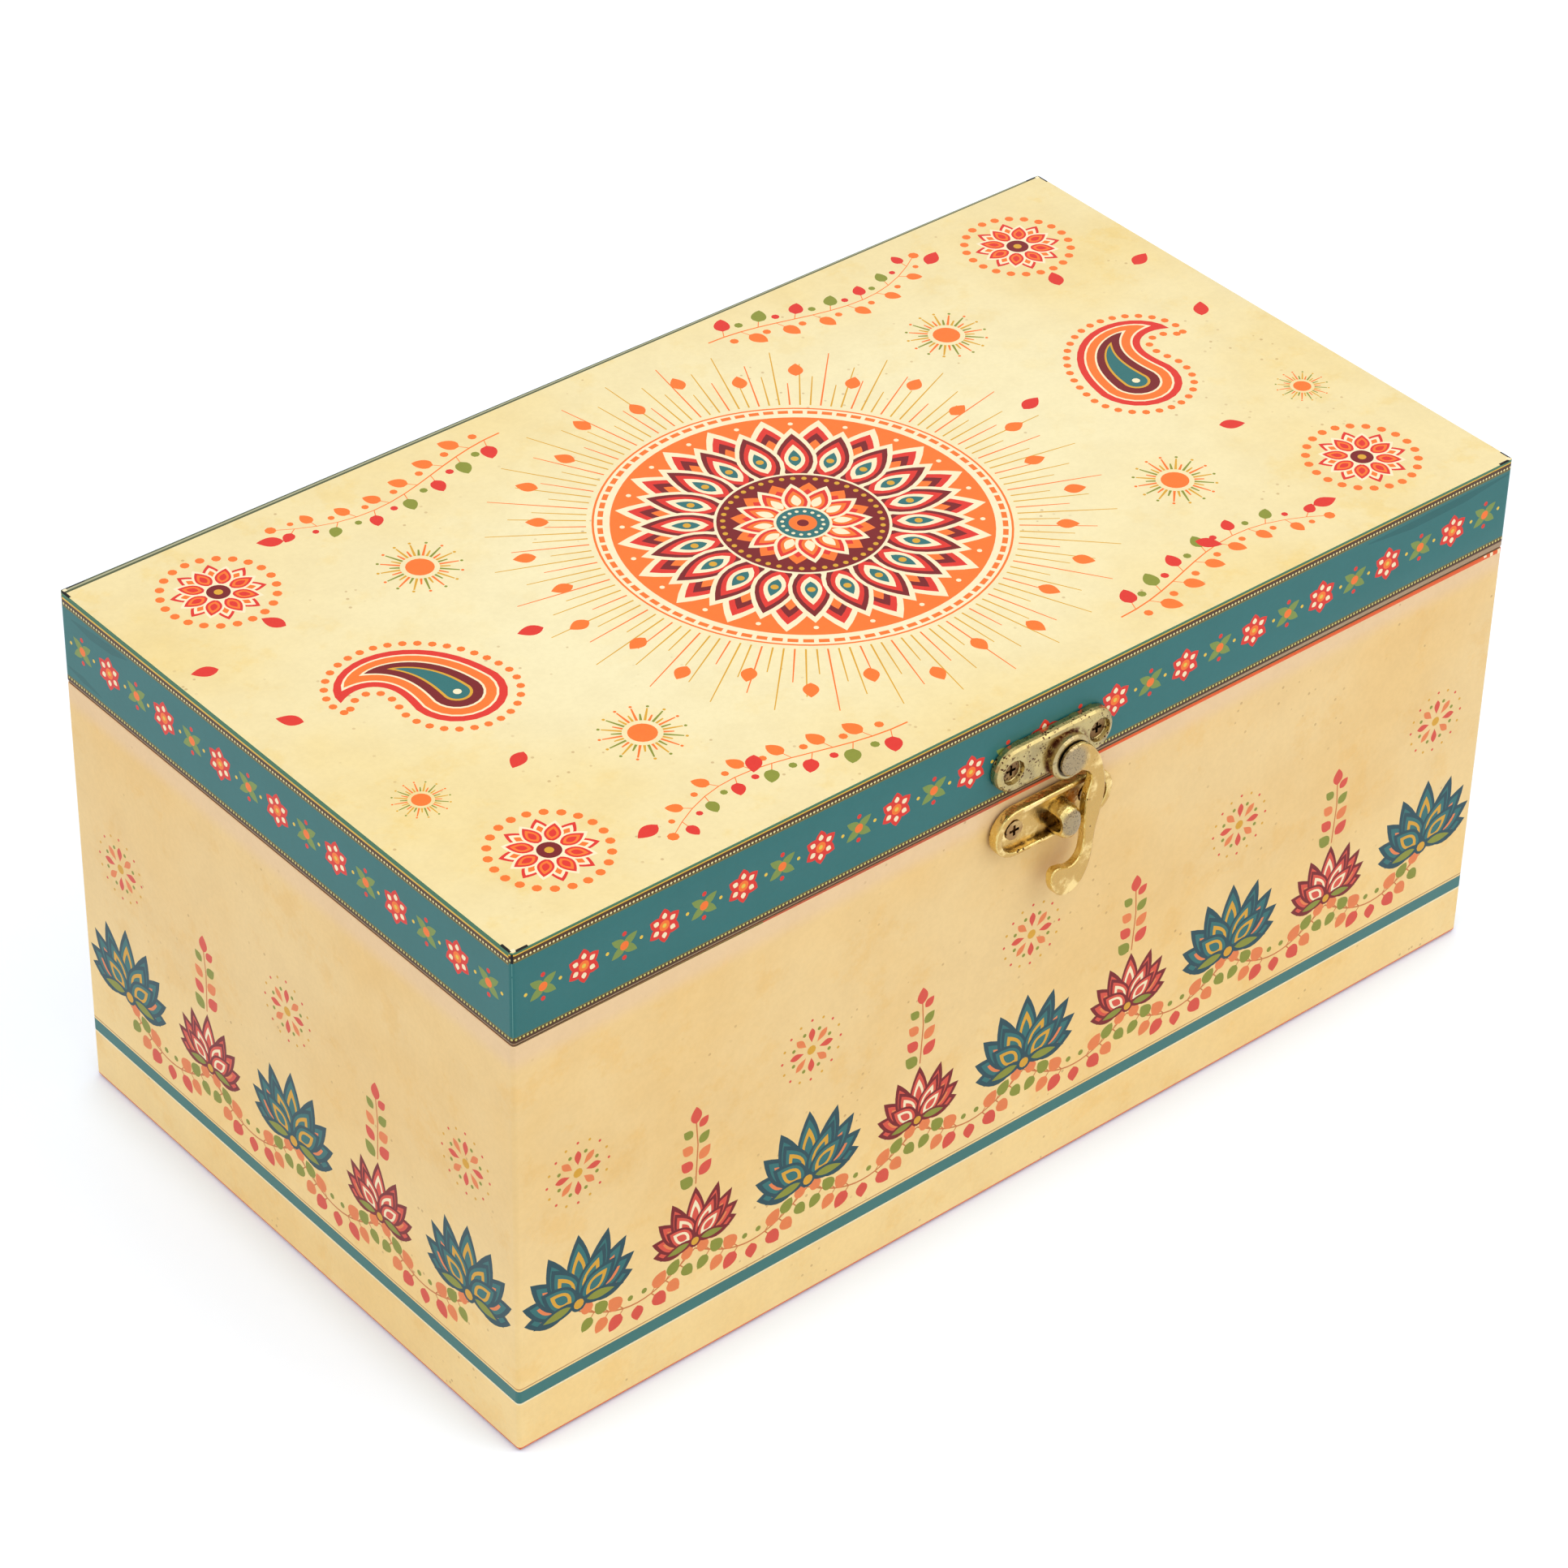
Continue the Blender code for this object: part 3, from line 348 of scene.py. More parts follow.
# Wear down the band's folds: half widths are shares of the width
WEAR_WIDTH = 0.12
WEAR_LENGTHS = (4, 16)
WEAR_GAPS = (0.3, 3)
WEAR_HALVES = (0.3, 0.6)
WEAR_START = 1.5
WEAR_SEED = 3


def srgb(byte):
    value = byte / 255
    return value / 12.92 if value <= 0.04045 else ((value + 0.055) / 1.055) ** 2.4


def tint(red, green, blue):
    return (srgb(red), srgb(green), srgb(blue), 1)


def new_material(name):
    mat = bpy.data.materials.new(name)
    mat.use_nodes = True
    return mat, mat.node_tree.nodes["Principled BSDF"]


def add_node(mat, kind, **inputs):
    node = mat.node_tree.nodes.new("ShaderNode" + kind)
    for name, value in inputs.items():
        feed(mat, value, node.inputs[name.replace("_", " ").title()])
    return node


def feed(mat, value, socket):
    """Set a socket, or link it where the value is another node's output"""
    if isinstance(value, bpy.types.NodeSocket):
        mat.node_tree.links.new(value, socket)
    else:
        socket.default_value = value


def object_point(mat, stretch=(1, 1, 1)):
    place = add_node(mat, "TexCoord").outputs["Object"]
    return add_node(mat, "Mapping", vector=place, scale=stretch).outputs["Vector"]


def noise(mat, scale, detail=3, stretch=(1, 1, 1), roughness=0.55):
    point = object_point(mat, stretch)
    node = add_node(mat, "TexNoise", vector=point, scale=scale, detail=detail, roughness=roughness)
    return node.outputs["Fac"]


def spots(mat, scale, reach):
    """1 inside scattered small round spots, 0 outside"""
    cells = add_node(mat, "TexVoronoi", vector=object_point(mat), scale=scale)
    return spread(mat, cells.outputs["Distance"], reach, reach * 0.6)


def spread(mat, value, low, high, to_low=0, to_high=1):
    node = add_node(mat, "MapRange", value=value, from_min=low, from_max=high,
                    to_min=to_low, to_max=to_high)
    node.interpolation_type = "SMOOTHSTEP"
    return node.outputs["Result"]


def maths(mat, operation, *values):
    node = add_node(mat, "Math")
    node.operation = operation
    for value, socket in zip(values, node.inputs):
        feed(mat, value, socket)
    return node.outputs[0]


def times(mat, first, second):
    return maths(mat, "MULTIPLY", first, second)


def mix(mat, kind, factor, first, second):
    node = add_node(mat, "Mix")
    node.data_type = "RGBA"
    node.blend_type = kind
    colours = [socket for socket in node.inputs if socket.type == "RGBA"]
    feed(mat, factor, node.inputs[0])
    feed(mat, first, colours[0])
    feed(mat, second, colours[1])
    return [socket for socket in node.outputs if socket.type == "RGBA"][0]


def blend(mat, factor, first, second):
    """The first colour where the factor is 0, and the second where it is 1"""
    return mix(mat, "MIX", factor, first, second)


def shade(mat, factor, colour, tone):
    """The colour multiplied by a tone where the factor is 1"""
    return mix(mat, "MULTIPLY", factor, colour, tone)


def bump(mat, shader, height, strength, distance):
    node = add_node(mat, "Bump", height=height, strength=strength, distance=distance)
    feed(mat, node.outputs["Normal"], shader.inputs["Normal"])


def height_above(mat, low, high):
    """0 at a height in metres and 1 at another"""
    place = add_node(mat, "TexCoord").outputs["Object"]
    split = add_node(mat, "SeparateXYZ", vector=place)
    return spread(mat, split.outputs["Z"], low, high)


def print_material(name, tone):
    """Printed paper under a satin film. The inks come from the mesh, with alpha 1 on bare ground"""
    mat, shader = new_material(name)
    ink = add_node(mat, "Attribute")
    ink.attribute_name = "ink"
    body, ground = ink.outputs["Color"], ink.outputs["Alpha"]
    patch = spread(mat, noise(mat, 16, 5), 0.42, 0.66)
    body = shade(mat, times(mat, patch, ground), body, tone)
    fibre = spread(mat, noise(mat, 75, 6, roughness=0.7), 0.52, 0.66, 0, 0.85)
    body = shade(mat, times(mat, fibre, ground), body, tone)
    if name == "lid_print":
        body = lid_glow(mat, body, ground)
    if name == "body_print":
        body = body_fades(mat, body, ground)
    speck = times(mat, spots(mat, 330, 0.15), spread(mat, noise(mat, 45, 2), 0.53, 0.63, 0, 0.45))
    body = blend(mat, times(mat, speck, ground), body, tint(168, 120, 66))
    uneven = spread(mat, noise(mat, 110, 4), 0.38, 0.66, 0, 0.24)
    body = shade(mat, uneven, body, (0.88, 0.86, 0.84, 1))
    grain = spread(mat, noise(mat, 900, 2), 0.35, 0.65, 0, 0.25)
    body = shade(mat, grain, body, (0.90, 0.89, 0.87, 1))
    feed(mat, body, shader.inputs["Base Color"])
    for part, value in FILM.items():
        shader.inputs[part].default_value = value
    bump(mat, shader, noise(mat, 500, 3), 0.05, 0.00008)
    return mat


def lid_glow(mat, body, ground):
    """The ground is palest behind the big flower"""
    glow = times(mat, near_point(mat, (0, 0, 0), GLOW_REACH, GLOW_STRETCH), 0.65)
    return blend(mat, times(mat, glow, ground), body, tint(247, 239, 199))


def body_fades(mat, body, ground):
    """The ground is pinkish under the rim, a painted highlight along the rounded top edge, yellower
    below it, and paler towards the foot, painted light thrown up by the floor
    """
    # Painted highlight under the rim
    rim = times(mat, height_above(mat, *RIM_HIGHLIGHT), 0.8)
    body = blend(mat, times(mat, rim, ground), body, tint(239, 208, 168))
    under = times(mat, height_above(mat, *UNDER_RIM_FADE), 0.35)
    body = shade(mat, times(mat, under, ground), body, (1.0, 0.94, 0.84, 1))
    # Painted light from the floor, paler towards the foot
    foot = height_above(mat, *FOOT_FLOOR_LIGHT)
    return shade(mat, times(mat, foot, ground), body, (1.09, 1.12, 1.10, 1))


def board_material(name, colour, deep, rough):
    """Fibreboard, painted or bare: fine short fibres and darker patches"""
    colour, deep = tint(*colour), tint(*deep)
    mat, shader = new_material(name)
    fibres = noise(mat, 900, 5, (1, 1, 0.5), 0.7)
    body = blend(mat, spread(mat, fibres, 0.35, 0.65), colour, deep)
    wear = spread(mat, noise(mat, 40, 4), 0.55, 0.75, 0, 0.35)
    body = blend(mat, wear, body, deep)
    feed(mat, body, shader.inputs["Base Color"])
    shader.inputs["Roughness"].default_value = rough
    bump(mat, shader, fibres, 0.25, 0.0002)
    return mat


def crevices(mat, reach, low=0.45, high=0.88):
    """1 deep in a piece's own corners, 0 on its open faces"""
    node = add_node(mat, "AmbientOcclusion", distance=reach)
    node.samples = 12
    node.only_local = True
    return spread(mat, node.outputs["AO"], low, high, 1, 0)


def sideways(mat):
    """1 on a plate's edges and rounded rims, 0 on the faces that look out of the box's sides"""
    normal = add_node(mat, "TexCoord").outputs["Normal"]
    outwards = add_node(mat, "SeparateXYZ", vector=normal).outputs["Y"]
    return spread(mat, maths(mat, "ABSOLUTE", outwards), 0.90, 0.62)


def near_point(mat, point, reach, stretch=(1, 1, 1)):
    """1 within the nearer distance of a point on the object, 0 past the farther one"""
    near, far = reach
    gap = add_node(mat, "VectorMath")
    gap.operation = "DISTANCE"
    feed(mat, object_point(mat, stretch), gap.inputs[0])
    feed(mat, tuple(a * b for a, b in zip(point, stretch)), gap.inputs[1])
    return spread(mat, gap.outputs["Value"], far, near)


def scuffed(mat, amount, low, high):
    """The amount broken up by noise, for ragged edges"""
    return times(mat, amount, spread(mat, noise(mat, 700, 4, roughness=0.65), low, high))


def metal_material(name, colour, worn, rim, stain, rough, patches, spot_share=0, wavy=0.35,
                   relief=0.00030):
    """Thin plating: worn patches, pits with rust in them, corners darkened as painted shade and grime,
    edges lighter as a painted highlight, uneven polish
    """
    colour, worn, rim, stain = [tint(*ink) for ink in (colour, worn, rim, stain)]
    mat, shader = new_material(name)
    patch = spread(mat, noise(mat, 210, 5, roughness=0.6), patches, patches + 0.16)
    body = blend(mat, patch, colour, worn)
    # Edges and rims take the lighter rim colour: a painted highlight
    body = blend(mat, times(mat, sideways(mat), 0.85), body, rim)
    bare = None
    if name == "bright_brass":
        bare = bare_metal(mat)
        body = blend(mat, bare, body, tint(162, 142, 108))
    body, pits = rusted(mat, body, stain, spot_share)
    if bare is not None:
        specks = times(mat, times(mat, bare, spots(mat, 2000, 0.33)), 0.9)
        body = blend(mat, specks, body, tint(84, 72, 62))
    # Corners darkened to the stain colour: painted shade, with grime
    dirt_and_shade = scuffed(mat, crevices(mat, 0.0016), 0.30, 0.55)
    body = blend(mat, times(mat, dirt_and_shade, 0.85), body, stain)
    if name == "aged_brass":
        body = rubbed_ring(mat, body)
    feed(mat, body, shader.inputs["Base Color"])
    shader.inputs["Metallic"].default_value = 1
    uneven = spread(mat, noise(mat, 330, 4), 0.3, 0.7, rough, rough + 0.18)
    feed(mat, uneven, shader.inputs["Roughness"])
    waves = blend(mat, pits, noise(mat, 420, 3), (0, 0, 0, 1))
    bump(mat, shader, waves, spread(mat, sideways(mat), 0, 1, 0.25, wavy), relief)
    return mat


def rusted(mat, body, stain, share):
    """The metal with rust in pits, in groups of finer ones and in blots, and where the pits are"""
    near = spread(mat, noise(mat, 260, 3), 0.62 - share, 0.68 - share)
    pits = times(mat, spots(mat, 1100, 0.34), near)
    groups = spread(mat, noise(mat, 520, 2), 0.66 - share, 0.70 - share)
    fine = times(mat, spots(mat, 2600, 0.27), groups)
    blot = spread(mat, noise(mat, 640, 5, roughness=0.7), 0.71 - share, 0.74 - share)
    for rust, strength in ((pits, 1), (fine, 0.85), (blot, 0.8)):
        body = blend(mat, times(mat, rust, strength), body, stain)
    return body, pits


def bare_metal(mat):
    """Where the plating is worn through: the hook's eye and the crown of the keeper's post"""
    eye = near_point(mat, EYE_WEAR, EYE_REACH, FLAT)
    crown = near_point(mat, CROWN_WEAR, CROWN_REACH)
    return maths(mat, "MAXIMUM", eye, crown)


def rubbed_ring(mat, body):
    """Bare rough boss, with a dark painted shadow round the hook's eye and rust where the boss meets
    the plate
    """
    boss = times(mat, near_point(mat, PIVOT, BOSS_REACH, FLAT), 0.8)
    body = blend(mat, scuffed(mat, boss, 0.3, 0.6), body, tint(184, 166, 124))
    # Dark ring round the hook's eye: a painted shadow of the gap under it
    dirt_and_shade = times(mat, near_point(mat, PIVOT, EYE_SHADOW_REACH, FLAT), 0.9)
    body = blend(mat, dirt_and_shade, body, tint(58, 44, 34))
    foot = times(mat, near_point(mat, PIVOT, RUST_REACH, FLAT), crevices(mat, 0.0022, 0.60, 0.95))
    return blend(mat, scuffed(mat, foot, 0.38, 0.55), body, tint(104, 60, 38))


def make_materials():
    mats = {name: print_material(name, tone) for name, tone in PRINT_TONES.items()}
    for name, look in BOARDS.items():
        mats[name] = board_material(name, **look)
    for name, look in METALS.items():
        mats[name] = metal_material(name, **look)
    return mats


def move(points, x=0, y=0, turn=0, size=1):
    """Outline points turned by degrees anticlockwise, scaled and placed"""
    c, s = cos(radians(turn)) * size, sin(radians(turn)) * size
    return [(x + px * c - py * s, y + px * s + py * c) for px, py in points]


def circle(x, y, radius, steps=10):
    return [(x + radius * cos(2 * pi * i / steps), y + radius * sin(2 * pi * i / steps))
            for i in range(steps)]


def rectangle(x0, y0, x1, y1):
    return [(x0, y0), (x1, y0), (x1, y1), (x0, y1)]


def petal(length, width, skew=0.85, full=0.9, steps=8):
    """A pointed petal that stands on the origin; skew below 1 lowers its widest place"""
    rise = [i / steps for i in range(1, steps)]
    side = [(width / 2 * sin(pi * t ** skew) ** full, length * t) for t in rise]
    left = [(-px, py) for px, py in reversed(side)]
    return [(0, 0)] + side + [(0, length)] + left


def leaf(length, width):
    """A rounder petal"""
    return petal(length, width, 0.78, 0.7, 7)


def dot(art, x, y, radius, ink, steps=10):
    art.append((circle(x, y, radius, steps), ink))


def bar(art, x0, y0, x1, y1, ink):
    art.append((rectangle(x0, y0, x1, y1), ink))


def brush(path, widths):
    """The outline of a stroke along a path, as wide at each point as asked"""
    left, right = [], []
    for i, (px, py) in enumerate(path):
        ax, ay = path[max(i - 1, 0)]
        bx, by = path[min(i + 1, len(path) - 1)]
        run = hypot(bx - ax, by - ay)
        nx, ny = -(by - ay) / run, (bx - ax) / run
        half = widths[i] / 2
        left.append((px + nx * half, py + ny * half))
        right.append((px - nx * half, py - ny * half))
    return left + right[::-1]


def even_brush(path, width):
    return brush(path, [width] * len(path))


def nested_petals(art, x, y, turn, length, width, inks):
    """Petals inside each other, which share a base line; inks run from the outside in"""
    for i, ink in enumerate(inks):
        share = 1 - i / (len(inks) + 0.6)
        lift = length * (1 - share) * 0.45
        outline = move(petal(length * share, width * share), y=lift)
        art.append((move(outline, x, y, turn), ink))


def ring_of(count, start=0):
    return [start + 360 * i / count for i in range(count)]


def around(x, y, radius, turn):
    """A point at a distance from a centre; turn 0 is straight up, like a petal's"""
    return x - radius * sin(radians(turn)), y + radius * cos(radians(turn))


def petal_ring(art, x, y, turns, foot, length, width, inks):
    """Nested petals round a centre, whose feet stand at a distance from it"""
    for turn in turns:
        px, py = around(x, y, foot, turn)
        nested_petals(art, px, py, turn, length, width, inks)


def bead_ring(art, x, y, radius, count, bead, ink, steps=8):
    for turn in ring_of(count):
        dot(art, *around(x, y, radius, turn), bead, ink, steps)


def sun_rays(art, x, y, inner, lengths, count, width, inks):
    """Fine lines out of a centre, with lengths and inks taken in turn"""
    for i, turn in enumerate(ring_of(count)):
        reach = inner + lengths[i % len(lengths)]
        a, b = around(x, y, inner, turn), around(x, y, reach, turn)
        art.append((brush([a, b], [width, width * 0.6]), inks[i % len(inks)]))


def fields(art, radii, steps, past=0):
    """Round fields about the middle of the lid"""
    for radius, ink in radii:
        dot(art, 0, 0, past + radius, ink, steps)


def mandala_rim(art):
    """Fine rays, drops and a ring of links round the big flower"""
    sun_rays(art, 0, 0, MANDALA_RADIUS + RAY_PAST, RAY_LENGTHS, RAY_COUNT, RAY_WIDTH,
             ("gold", "orange", "gold"))
    for i, turn in enumerate(ring_of(DROP_COUNT)):
        px, py = around(0, 0, MANDALA_RADIUS + DROP_PAST + DROP_STEP * (i % 2), turn)
        art.append((move(petal(*DROP_SIZE), px, py, turn), "orange"))
    fields(art, OUTER_PAST, 96, MANDALA_RADIUS)
    half_x, half_y = LINK_HALF
    for turn in ring_of(LINK_COUNT):
        px, py = around(0, 0, MANDALA_RADIUS + LINK_PAST, turn)
        art.append((move(rectangle(-half_x, -half_y, half_x, half_y), px, py, turn), "orange"))
    fields(art, INNER_PAST, 96, MANDALA_RADIUS)


def mandala(art):
    """The round flower in the middle of the lid"""
    mandala_rim(art)
    petal_ring(art, 0, 0, ring_of(PETAL_COUNT, 180 / PETAL_COUNT), *BACK_PETAL)
    for turn in ring_of(PETAL_COUNT):
        petal_ring(art, 0, 0, [turn], *FRONT_PETAL)
        for radius, size, ink, steps in PETAL_DOTS:
            dot(art, *around(0, 0, radius, turn), size, ink, steps)
    fields(art, HEART_FIELDS, 72)
    bead_ring(art, 0, 0, *HEART_BEADS)
    petal_ring(art, 0, 0, ring_of(HEART_PETAL_COUNT, 180 / HEART_PETAL_COUNT), *HEART_BACK_PETAL)
    petal_ring(art, 0, 0, ring_of(HEART_PETAL_COUNT), *HEART_FRONT_PETAL)
    fields(art, EYE_FIELDS, 40)
    bead_ring(art, 0, 0, *EYE_BEADS)
    dot(art, 0, 0, PUPIL_RADIUS, "orange", 24)
    dot(art, 0, 0, PUPIL_DOT, "dark_red", 16)


def mango(size, share, swell=1.0):
    """Outline of a mango figure: its round end about the origin, its tip curled over to +X"""
    radius = MANGO_RADIUS * size * share * swell
    full = MANGO_LENGTH * size
    reach = full * (0.30 + 0.70 * share) * swell ** 0.5
    x, y, left, right = 0, 0, [], []
    for i in range(MANGO_STEPS + 1):
        t = i / MANGO_STEPS
        heading = radians(MANGO_CURL * (t * reach / full) ** 1.5)
        if i:
            x += reach / MANGO_STEPS * sin(heading)
            y += reach / MANGO_STEPS * cos(heading)
        half = radius * (1 - t) ** 0.8 * (1 + 0.10 * sin(pi * t))
        left.append((x - half * cos(heading), y + half * sin(heading)))
        right.append((x + half * cos(heading), y - half * sin(heading)))
    base = [(radius * cos(radians(a)), radius * sin(radians(a))) for a in range(195, 360, 15)]
    return right + left[-2::-1] + base


def evenly(outline, spacing):
    """Points spaced evenly along a closed outline"""
    sides = list(zip(outline, outline[1:] + outline[:1]))
    total = sum(hypot(b[0] - a[0], b[1] - a[1]) for a, b in sides)
    count = round(total / spacing)
    run, found = 0, []
    for a, b in sides:
        side = hypot(b[0] - a[0], b[1] - a[1])
        while len(found) < count and len(found) * total / count <= run + side:
            share = (len(found) * total / count - run) / side
            found.append((a[0] + (b[0] - a[0]) * share, a[1] + (b[1] - a[1]) * share))
        run += side
    return found


def paisley(art, x, y, size, flip):
    """A mango figure in nested colours with a row of dots round it"""
    def place(points):
        return move([(px * flip, py) for px, py in points], x, y)

    for spot in evenly(mango(size, 1, PAISLEY_DOT_RING), PAISLEY_DOT_PITCH * size):
        art.append((place(circle(*spot, PAISLEY_DOT * size, 8)), "orange"))
    for share, ink in PAISLEY_LAYERS:
        art.append((place(mango(size, share)), ink))
    art.append((place(circle(0, 0, PAISLEY_DOT * size)), "pale"))


def corner_flower(art, x, y, radius):
    """A small round flower in a ring of dots"""
    bead_ring(art, x, y, radius, 22, 0.085 * radius, "orange", 9)
    petal_ring(art, x, y, ring_of(8, 22.5), radius * 0.24, radius * 0.60, radius * 0.34,
               ("coral", "pale", "orange"))
    petal_ring(art, x, y, ring_of(8), radius * 0.16, radius * 0.62, radius * 0.36,
               ("pale", "coral", "orange", "coral"))
    dot(art, x, y, radius * 0.25, "pale", 24)
    dot(art, x, y, radius * 0.21, "dark_red", 24)
    dot(art, x, y, radius * 0.08, "gold", 12)


def burst(art, x, y, radius, inks):
    """A small spark: short fine strokes round a dot"""
    sun_rays(art, x, y, radius * 0.50, (radius * 0.50, radius * 0.26), 32, 0.07 * radius, inks)
    for i, turn in enumerate(ring_of(16)):
        dot(art, *around(x, y, radius * 1.07, turn), 0.045 * radius, inks[i % len(inks)], 6)
    dot(art, x, y, radius * 0.37, "orange", 20)


def leafy_spray(art, path, inks, largest, stem):
    """A curved stem with leaves on both sides, smaller towards its end; the last ink is the stem's"""
    count = len(path)
    *leaf_inks, stem_ink = inks
    art.append((brush(path, [stem * (1 - 0.6 * i / count) for i in range(count)]), stem_ink))
    for i in range(1, count - 1):
        (ax, ay), (px, py), (bx, by) = path[i - 1], path[i], path[i + 1]
        heading = degrees(atan2(by - ay, bx - ax)) - 90
        side = 1 if i % 2 else -1
        size = largest * (1 - 0.35 * i / count)
        turn = heading + side * 62
        foot = around(px, py, size * 0.45, turn)
        art.append((even_brush([(px, py), foot], stem * 0.5), stem_ink))
        art.append((move(leaf(size, size * 0.72), *foot, turn), leaf_inks[i % len(leaf_inks)]))
        bud = around(px, py, size * 0.55, heading - side * 70)
        dot(art, *bud, size * 0.20, leaf_inks[(i + 1) % len(leaf_inks)], 8)
    dot(art, *path[-1], largest * 0.24, inks[0], 8)


def lid_sprays(art):
    """Leafy sprays along the long edges"""
    runs = [i / SPRAY_STEPS for i in range(SPRAY_STEPS + 1)]
    for sx in (-1, 1):
        for sy in (-1, 1):
            path = [(sx * (SPRAY_START + SPRAY_LENGTH * t),
                     sy * (SPRAY_EDGE - SPRAY_BOW * sin(pi * t) * t)) for t in runs]
            leafy_spray(art, path, SPRAY_INKS, SPRAY_LEAF, SPRAY_STEM)


def lid_scatter(art):
    """Single leaves and sparks in the free field"""
    for sx in (-1, 1):
        for x, y, radius, inks in SPARKS:
            burst(art, sx * x, y, radius, inks)
        for x, y, turn in SINGLE_LEAVES:
            art.append((move(petal(*SINGLE_LEAF), sx * x, y, -sx * turn), "coral"))


def edge_lines(art, half_x, half_y):
    """A thin line along each edge of the lid"""
    x, y = half_x - EDGE_LINE, half_y - EDGE_LINE
    bar(art, -half_x, -half_y, half_x, -y, "line_green")
    bar(art, -half_x, y, half_x, half_y, "line_green")
    bar(art, -half_x, -half_y, -x, half_y, "line_green")
    bar(art, x, -half_y, half_x, half_y, "line_green")


def lid_top_art(half_x, half_y):
    art = []
    mandala(art)
    for side in (-1, 1):
        paisley(art, side * PAISLEY_X, PAISLEY_Y, PAISLEY_SIZE, side)
        for level in (-1, 1):
            x, y = CORNER_FLOWER
            corner_flower(art, side * x, level * y, CORNER_FLOWER_RADIUS)
    lid_sprays(art)
    lid_scatter(art)
    edge_lines(art, half_x, half_y)
    # The fold along the back edge: painted shade, a painted highlight and shade again, from the edge in
    thick, thin = BACK_FOLD
    for share, ink in BACK_FOLD_LIGHT_AND_SHADE:
        art.append(([(-half_x, half_y - share * thick), (half_x, half_y - share * thin),
                     (half_x, half_y), (-half_x, half_y)], ink))
    for sx in (-1, 1):
        for sy in (-1, 1):
            corner_marks(art, sx * half_x, sy * half_y, sx, sy)
    return art


def corner_marks(art, x, y, sx, sy):
    """Dark cut marks along both edges at a corner, and a white chip between them"""
    def mark(x0, y0, x1, y1, ink):
        low_x, high_x = sorted((x - sx * x0, x - sx * x1))
        low_y, high_y = sorted((y - sy * y0, y - sy * y1))
        bar(art, low_x, low_y, high_x, high_y, ink)

    length = LONG_MARK if sx < 0 < sy else MARK_LENGTH
    far = MARK_INSET + MARK_WIDTH
    mark(FRONT_MARK_START, MARK_INSET, FRONT_MARK_START + length, far, "black")
    mark(MARK_INSET, SIDE_MARK_START, far, SIDE_MARK_START + MARK_LENGTH, "black")
    mark(*CHIP, "pale")


def lotus(art, x, y, size, dark, fill, heart, line):
    """A lotus seen from the side, on its stalk's end"""
    for turn, length in LOTUS_BACK:
        for side in (-1, 1):
            nested_petals(art, x + side * size * 0.10, y, -side * turn, size * length, size * 0.26,
                          (dark, fill, heart))
    for turn, length in LOTUS_FRONT:
        for side in ((-1, 1) if turn else (1,)):
            nested_petals(art, x, y, -side * turn, size * length, size * 0.28, (dark, fill, line, fill))
    for side in (-1, 1):
        nested_petals(art, x, y + 0.02 * size, -side * 96, size * 0.50, size * 0.15, (dark, "olive"))
    dot(art, x, y, size * 0.085, dark, 12)
    dot(art, x, y, size * 0.055, "gold")


def swag(art, middle, half):
    """A hanging stem between two flowers, with leaves and berries mirrored about its middle"""
    def level(run):
        return SWAG_TOP - SWAG_DROP * cos(pi / 2 * run)

    stem = [(middle + half * i / 8, level(i / 8)) for i in range(-8, 9)]
    art.append((even_brush(stem, 0.40), "stem"))
    for i, run in enumerate(SWAG_LEAF_PLACES):
        size = SWAG_LEAF - LEAF_TAPER * i
        for side in (-1, 1):
            x, z = middle + side * run * half, level(run)
            for up in (-1, 1):
                turn = -side * (90 - up * 50)
                foot = around(x, z, 1.2, turn)
                ink = SWAG_INKS[(i + (up > 0)) % len(SWAG_INKS)]
                art.append((even_brush([(x, z), foot], 0.3), "stem"))
                art.append((move(leaf(size, size * 0.80), *foot, turn), ink))
    for run in (-0.12, 0.12):
        dot(art, middle + run * half, level(run) + 2.2, 0.75, "olive", 8)
    art.append((move(petal(*SWAG_BUD), middle, level(0) - 0.8, 180), "side_coral"))


def sprig(art, x, low, high):
    """An upright twig with pairs of leaves and a bud at its top"""
    art.append((even_brush([(x, low), (x + 0.5, (low + high) / 2), (x, high - 4)], 0.36), "stem"))
    inks = ("olive", "side_coral", "side_orange")
    for i in range(round((high - low - 5) / SPRIG_STEP)):
        z = low + 1 + SPRIG_STEP * i
        size = SPRIG_LEAF - LEAF_TAPER * i
        for side in (-1, 1):
            art.append((move(petal(size, size * 0.74), x + side * 0.9, z + side * 0.9, -side * 48),
                        inks[(i + (side > 0)) % len(inks)]))
    art.append((move(petal(*SPRIG_BUD), x, high - SPRIG_BUD[0]), "side_coral"))


def dot_flower(art, x, y, radius):
    """A small open flower of drops in a ring of dots"""
    for i, turn in enumerate(ring_of(8)):
        foot = around(x, y, radius * 0.26, turn)
        ink = "side_orange" if i % 2 else "side_coral"
        art.append((move(petal(radius * 0.48, radius * 0.22, 1.3), *foot, turn), ink))
        dot(art, *around(x, y, radius * 0.66, turn + 22.5), 0.50, "olive", 7)
    for i, turn in enumerate(ring_of(16)):
        dot(art, *around(x, y, radius, turn), 0.38, "gold" if i % 2 else "side_coral", 6)
    dot(art, x, y, radius * 0.15, "gold")


